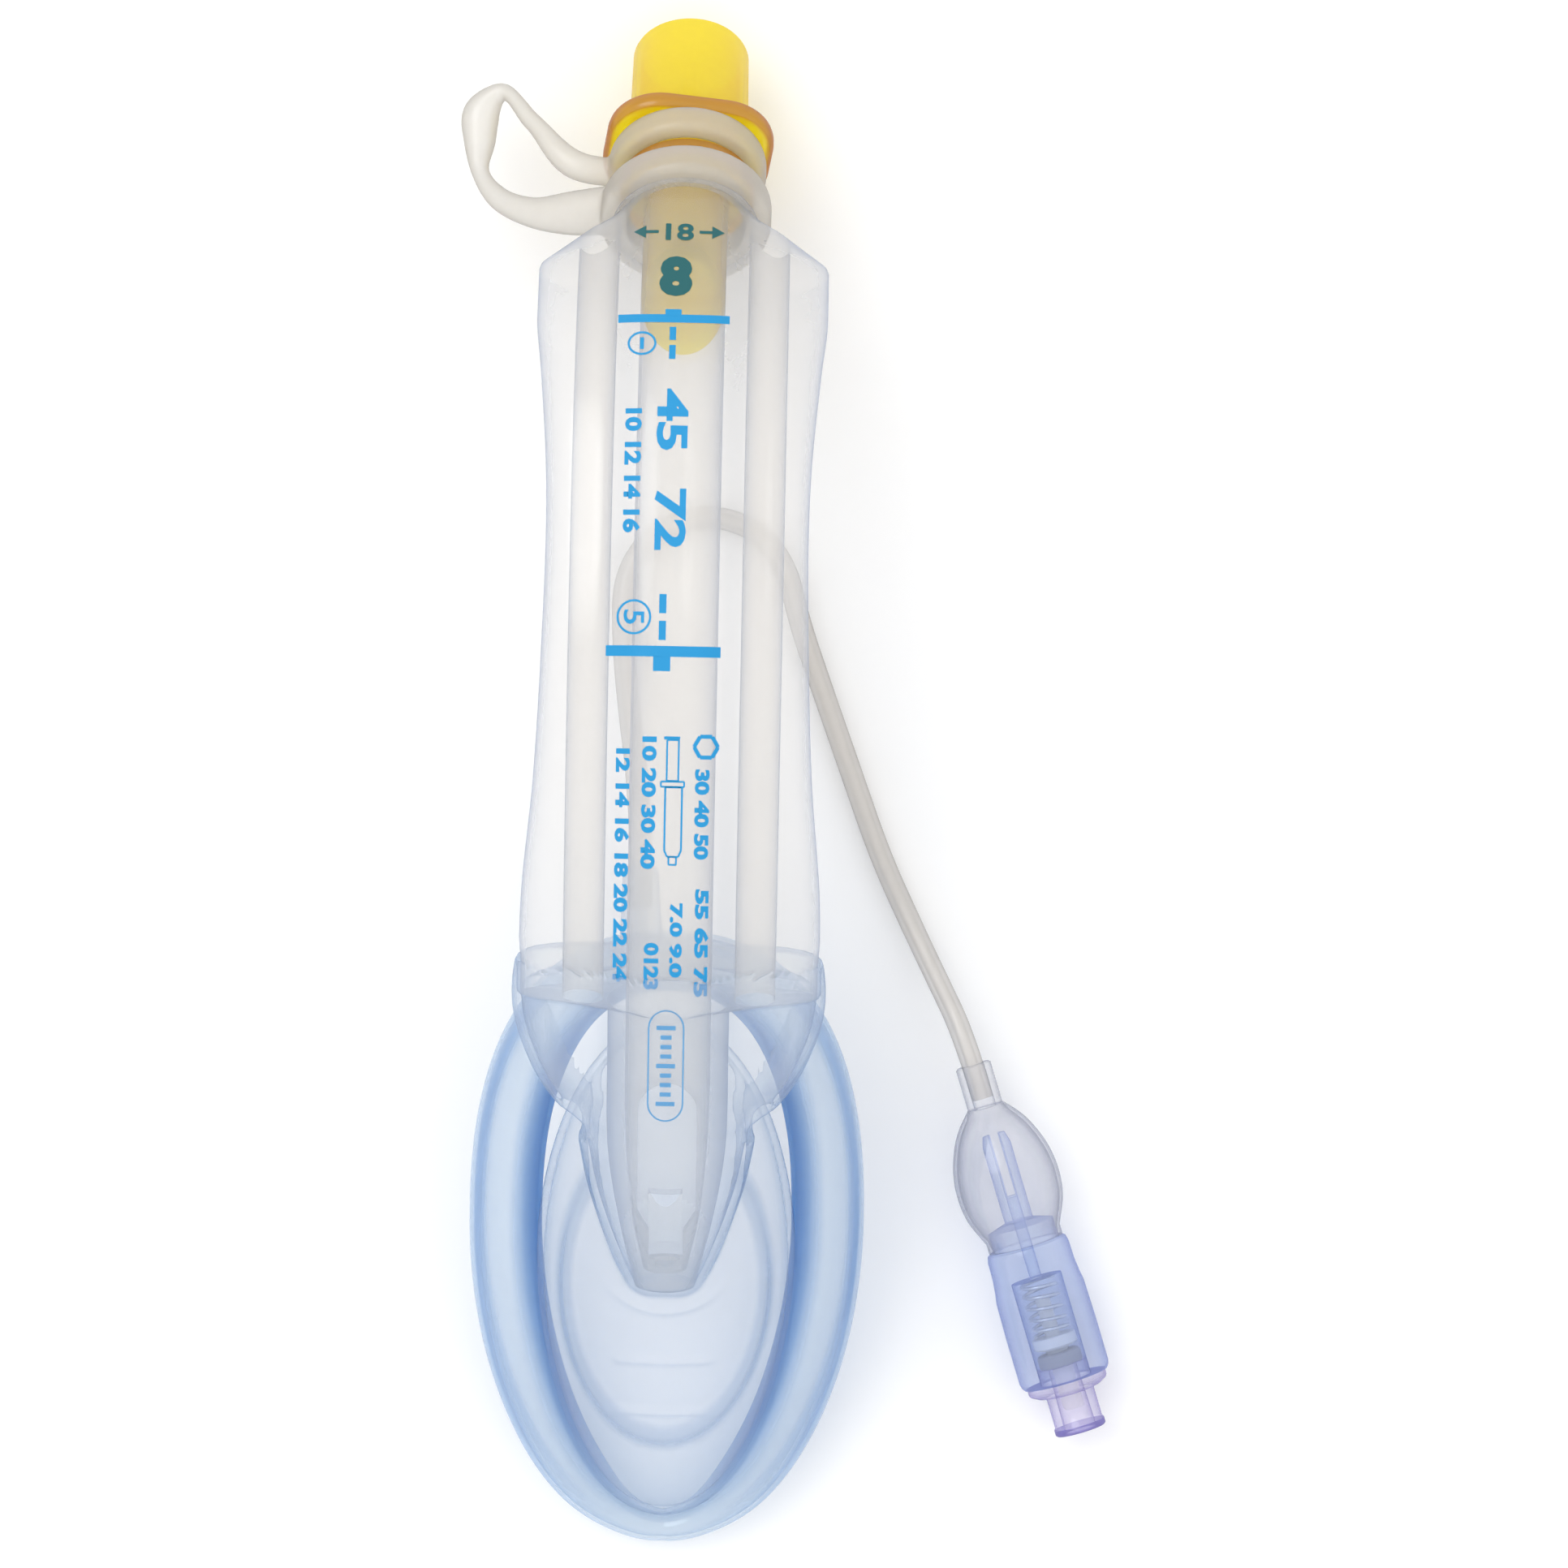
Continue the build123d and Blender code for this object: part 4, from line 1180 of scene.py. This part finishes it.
# Soft plastics: colour face on and edge on, how much a skin hides, what it lets through, and other settings
PLASTICS = {
    "tube_pvc": (
        (0.88, 0.87, 0.855), (0.34, 0.40, 0.53), (0.22, 0.55),
        ((0.99, 0.985, 0.98), (0.62, 0.68, 0.80)), {"sharpness": 1.7},
    ),
    "lumen_pvc": (
        (0.90, 0.87, 0.82), (0.42, 0.46, 0.56), (0.08, 0.5),
        ((0.99, 0.98, 0.965), (0.68, 0.73, 0.82)), {"sharpness": 1.7},
    ),
    "lumen_under": (
        (0.89, 0.865, 0.83), (0.45, 0.49, 0.58), (0.46, 0.6),
        ((0.99, 0.98, 0.965), (0.70, 0.75, 0.83)), {"sharpness": 1.7},
    ),
    "mask_pvc": (
        (0.89, 0.905, 0.92), (0.30, 0.41, 0.58), (0.09, 0.46),
        ((0.985, 0.99, 0.995), (0.54, 0.66, 0.82)), {"sharpness": 1.6, "faint": 1.0},
    ),
    "cuff_pvc": (
        (0.82, 0.87, 0.92), (0.13, 0.36, 0.68), (0.20, 0.60),
        ((0.96, 0.975, 0.985), (0.40, 0.62, 0.86)), {"faint": 0.3},
    ),
    "port_pvc": (
        (0.82, 0.87, 0.92), (0.40, 0.50, 0.66), (0.2, 0.5),
        ((0.95, 0.97, 0.98), (0.65, 0.75, 0.88)), {},
    ),
    "connector_yellow": (
        (0.95, 0.83, 0.0), (0.45, 0.15, 0.0), (0.40, 0.75),
        ((0.99, 0.95, 0.04), (0.80, 0.38, 0.01)), {"rough": 0.08, "sharpness": 1.6, "faint": 0.3},
    ),
    "tether_rubber": (
        (0.84, 0.825, 0.80), (0.46, 0.44, 0.41), (0.45, 0.8),
        ((0.97, 0.96, 0.94), (0.66, 0.64, 0.61)), {"rough": 0.25},
    ),
    "line_pvc": (
        (0.88, 0.86, 0.83), (0.42, 0.41, 0.40), (0.35, 0.6),
        ((0.99, 0.98, 0.97), (0.68, 0.67, 0.66)), {},
    ),
    "balloon_pvc": (
        (0.90, 0.90, 0.91), (0.34, 0.36, 0.45), (0.06, 0.5),
        ((0.985, 0.985, 0.99), (0.55, 0.57, 0.66)), {"rough": 0.05, "sharpness": 2.0},
    ),
    "valve_clear": (
        (0.62, 0.69, 0.88), (0.14, 0.21, 0.53), (0.12, 0.48),
        ((0.90, 0.93, 0.98), (0.44, 0.52, 0.82)), {"rough": 0.05, "sharpness": 1.8},
    ),
    "luer_clear": (
        (0.88, 0.86, 0.94), (0.20, 0.16, 0.48), (0.10, 0.5),
        ((0.97, 0.96, 0.99), (0.50, 0.46, 0.78)), {"rough": 0.05, "sharpness": 1.8},
    ),
    "luer_rim": (
        (0.30, 0.27, 0.58), (0.16, 0.13, 0.42), (0.45, 0.7),
        ((0.62, 0.58, 0.85), (0.40, 0.36, 0.70)), {"rough": 0.05},
    ),
}


# Plain stuff: colour, roughness, metal
PLAINS = {
    "plunger_plastic": ((0.72, 0.72, 0.73), 0.4),
    "seal_rubber": ((0.30, 0.30, 0.34), 0.6),
    "spring_steel": ((0.65, 0.66, 0.70), 0.25, 1.0),
    "ink_blue": ((0.0, 0.27, 0.58), 0.5),
    "ink_teal": ((0.0, 0.10, 0.11), 0.5),
}


def look(name):
    """The material of a name."""
    if name in PLAINS:
        return plain(name, *PLAINS[name])
    *colours, settings = PLASTICS[name]
    return frosted(name, *colours, **settings)


def dress(obj, slot, body, *nodes, ink=None):
    """Gives a piece its material and slot, the body that carries it and the nodes that it replaces."""
    obj.data.materials.clear()
    obj.data.materials.append(look(ink or slot))
    if body:
        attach(obj, body)
    if nodes:
        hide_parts(*nodes)
    return obj


def paint_channels(obj):
    """Gives the walls of the side channels and the airway materials of their own, upper and lower."""
    with opened(obj) as work:
        for face in work.faces:
            middle = face.calc_center_median() / MM
            height, slope = spine(middle.y)
            up = (middle.z - APEX_Z - height) * cosine(slope)
            x = middle.x - SIDE_SHIFT
            beside = math.hypot(abs(x) - CHANNEL_X, up) < CHANNEL_RADIUS + 0.1
            if beside or math.hypot(x, up) < LUMEN_RADIUS + 0.1:
                face.material_index = 1 if up > 0 else 2


def paint_rim(obj):
    """Gives the luer port's end a material of its own."""
    for face in obj.data.polygons:
        away = unplaced(face.center) - NECK_START - VALVE_AXIS * LUER_RIM_START
        face.material_index = int(away.dot(VALVE_AXIS) > 0)


# The stage


FLOOR_REACH = 3.0
HORIZON_LIGHT = 0.9
OVERHEAD_LIGHT = 1.18
WINDOW_LIGHT = 2.2
WINDOW_DIRECTION = (-0.45, 0.35, 0.82)
CAMERA_HEIGHT = 1.0
CAMERA_X = 0.01597
SENSOR_WIDTH = 36.0
FRAME_WIDTH = 0.2066
PHOTO_ROLL = 1.16


def stage_floor():
    mesh = bpy.data.meshes.new("table")
    corners = [(-1, -1), (1, -1), (1, 1), (-1, 1)]
    mesh.from_pydata([(x * FLOOR_REACH, y * FLOOR_REACH, 0) for x, y in corners], [], [(0, 1, 2, 3)])
    floor = linked("table", mesh)
    floor.location.z = -0.0005
    made, _, shader = material("table_white")
    set_inputs(shader, Base_Color=(0.93, 0.93, 0.93, 1.0), Roughness=0.9, Specular_IOR_Level=0.0)
    mesh.materials.append(made)


def lights():
    """A bright sky, lighter overhead, with one soft window in it."""
    scene = bpy.context.scene
    scene.cycles.transparent_max_bounces = 48
    scene.cycles.max_bounces = 6
    scene.cycles.diffuse_bounces = 3
    scene.cycles.glossy_bounces = 2
    scene.cycles.transmission_bounces = 4
    world = bpy.data.worlds.new("studio")
    scene.world = world
    world.use_nodes = True
    world.cycles.sampling_method = "NONE"
    tree = world.node_tree
    direction = tree.nodes.new("ShaderNodeTexCoord").outputs["Generated"]
    split = tree.nodes.new("ShaderNodeSeparateXYZ")
    tree.links.new(direction, split.inputs[0])
    aim = tree.nodes.new("ShaderNodeVectorMath")
    aim.operation = "DOT_PRODUCT"
    aim.inputs[1].default_value = Vector(WINDOW_DIRECTION).normalized()
    tree.links.new(direction, aim.inputs[0])
    rise = eased(tree, split.outputs["Z"], 0.0, 0.75, HORIZON_LIGHT, OVERHEAD_LIGHT)
    window = eased(tree, aim.outputs["Value"], 0.93, 0.985, 0.0, WINDOW_LIGHT)
    background = tree.nodes["Background"]
    set_inputs(background, Color=(1.0, 1.0, 1.0, 1.0))
    tree.links.new(maths(tree, "ADD", rise, window), background.inputs["Strength"])


def camera():
    data = bpy.data.cameras.new("camera")
    data.sensor_width = SENSOR_WIDTH
    data.lens = SENSOR_WIDTH * CAMERA_HEIGHT / FRAME_WIDTH
    data.clip_start = 0.01
    data.clip_end = 10.0
    obj = linked("camera", data)
    obj.location = (CAMERA_X, 0.0, CAMERA_HEIGHT)
    obj.rotation_euler = (0.0, 0.0, math.radians(PHOTO_ROLL))
    bpy.context.scene.camera = obj


def build():
    tube = dress(airway_body(), "tube_pvc", "root", "airway_body")
    tube.data.materials.append(look("lumen_pvc"))
    tube.data.materials.append(look("lumen_under"))
    paint_channels(tube)
    dress(mask_shell(), "mask_pvc", "root", "mask_shell")
    dress(cuff(), "cuff_pvc", "root", "cuff")
    # The connector carries painted shade on its rims and stem
    dress(painted_rim_shade(connector()), "connector_yellow", "connector", "connector")
    strap = dress(tether(), "tether_rubber", None, "connector_tether")
    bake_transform(strap)
    dress(blue_print(), "tube_pvc", "root", ink="ink_blue")
    dress(teal_print(), "tube_pvc", "root", ink="ink_teal")
    dress(inflation_port(), "port_pvc", "root", "inflation_port")
    centre = line_centre()
    line = dress(inflation_line(centre), "line_pvc", "root", "inflation_line")
    balloon = dress(pilot_balloon(), "balloon_pvc", "root", "pilot_balloon")
    housing = dress(valve_housing(), "valve_clear", "root", "valve_housing")
    luer = dress(valve_luer(), "luer_clear", "root", "valve_luer")
    luer.data.materials.append(look("luer_rim"))
    paint_rim(luer)
    plunger = dress(valve_plunger(), "plunger_plastic", "plunger", "valve_plunger")
    seal = dress(valve_seal(), "seal_rubber", "plunger", "valve_seal")
    spring = dress(valve_spring(), "spring_steel", "root", "valve_spring")
    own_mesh(spring)


build()
stage_floor()
lights()
camera()
bpy.context.scene.view_settings.view_transform = "Standard"
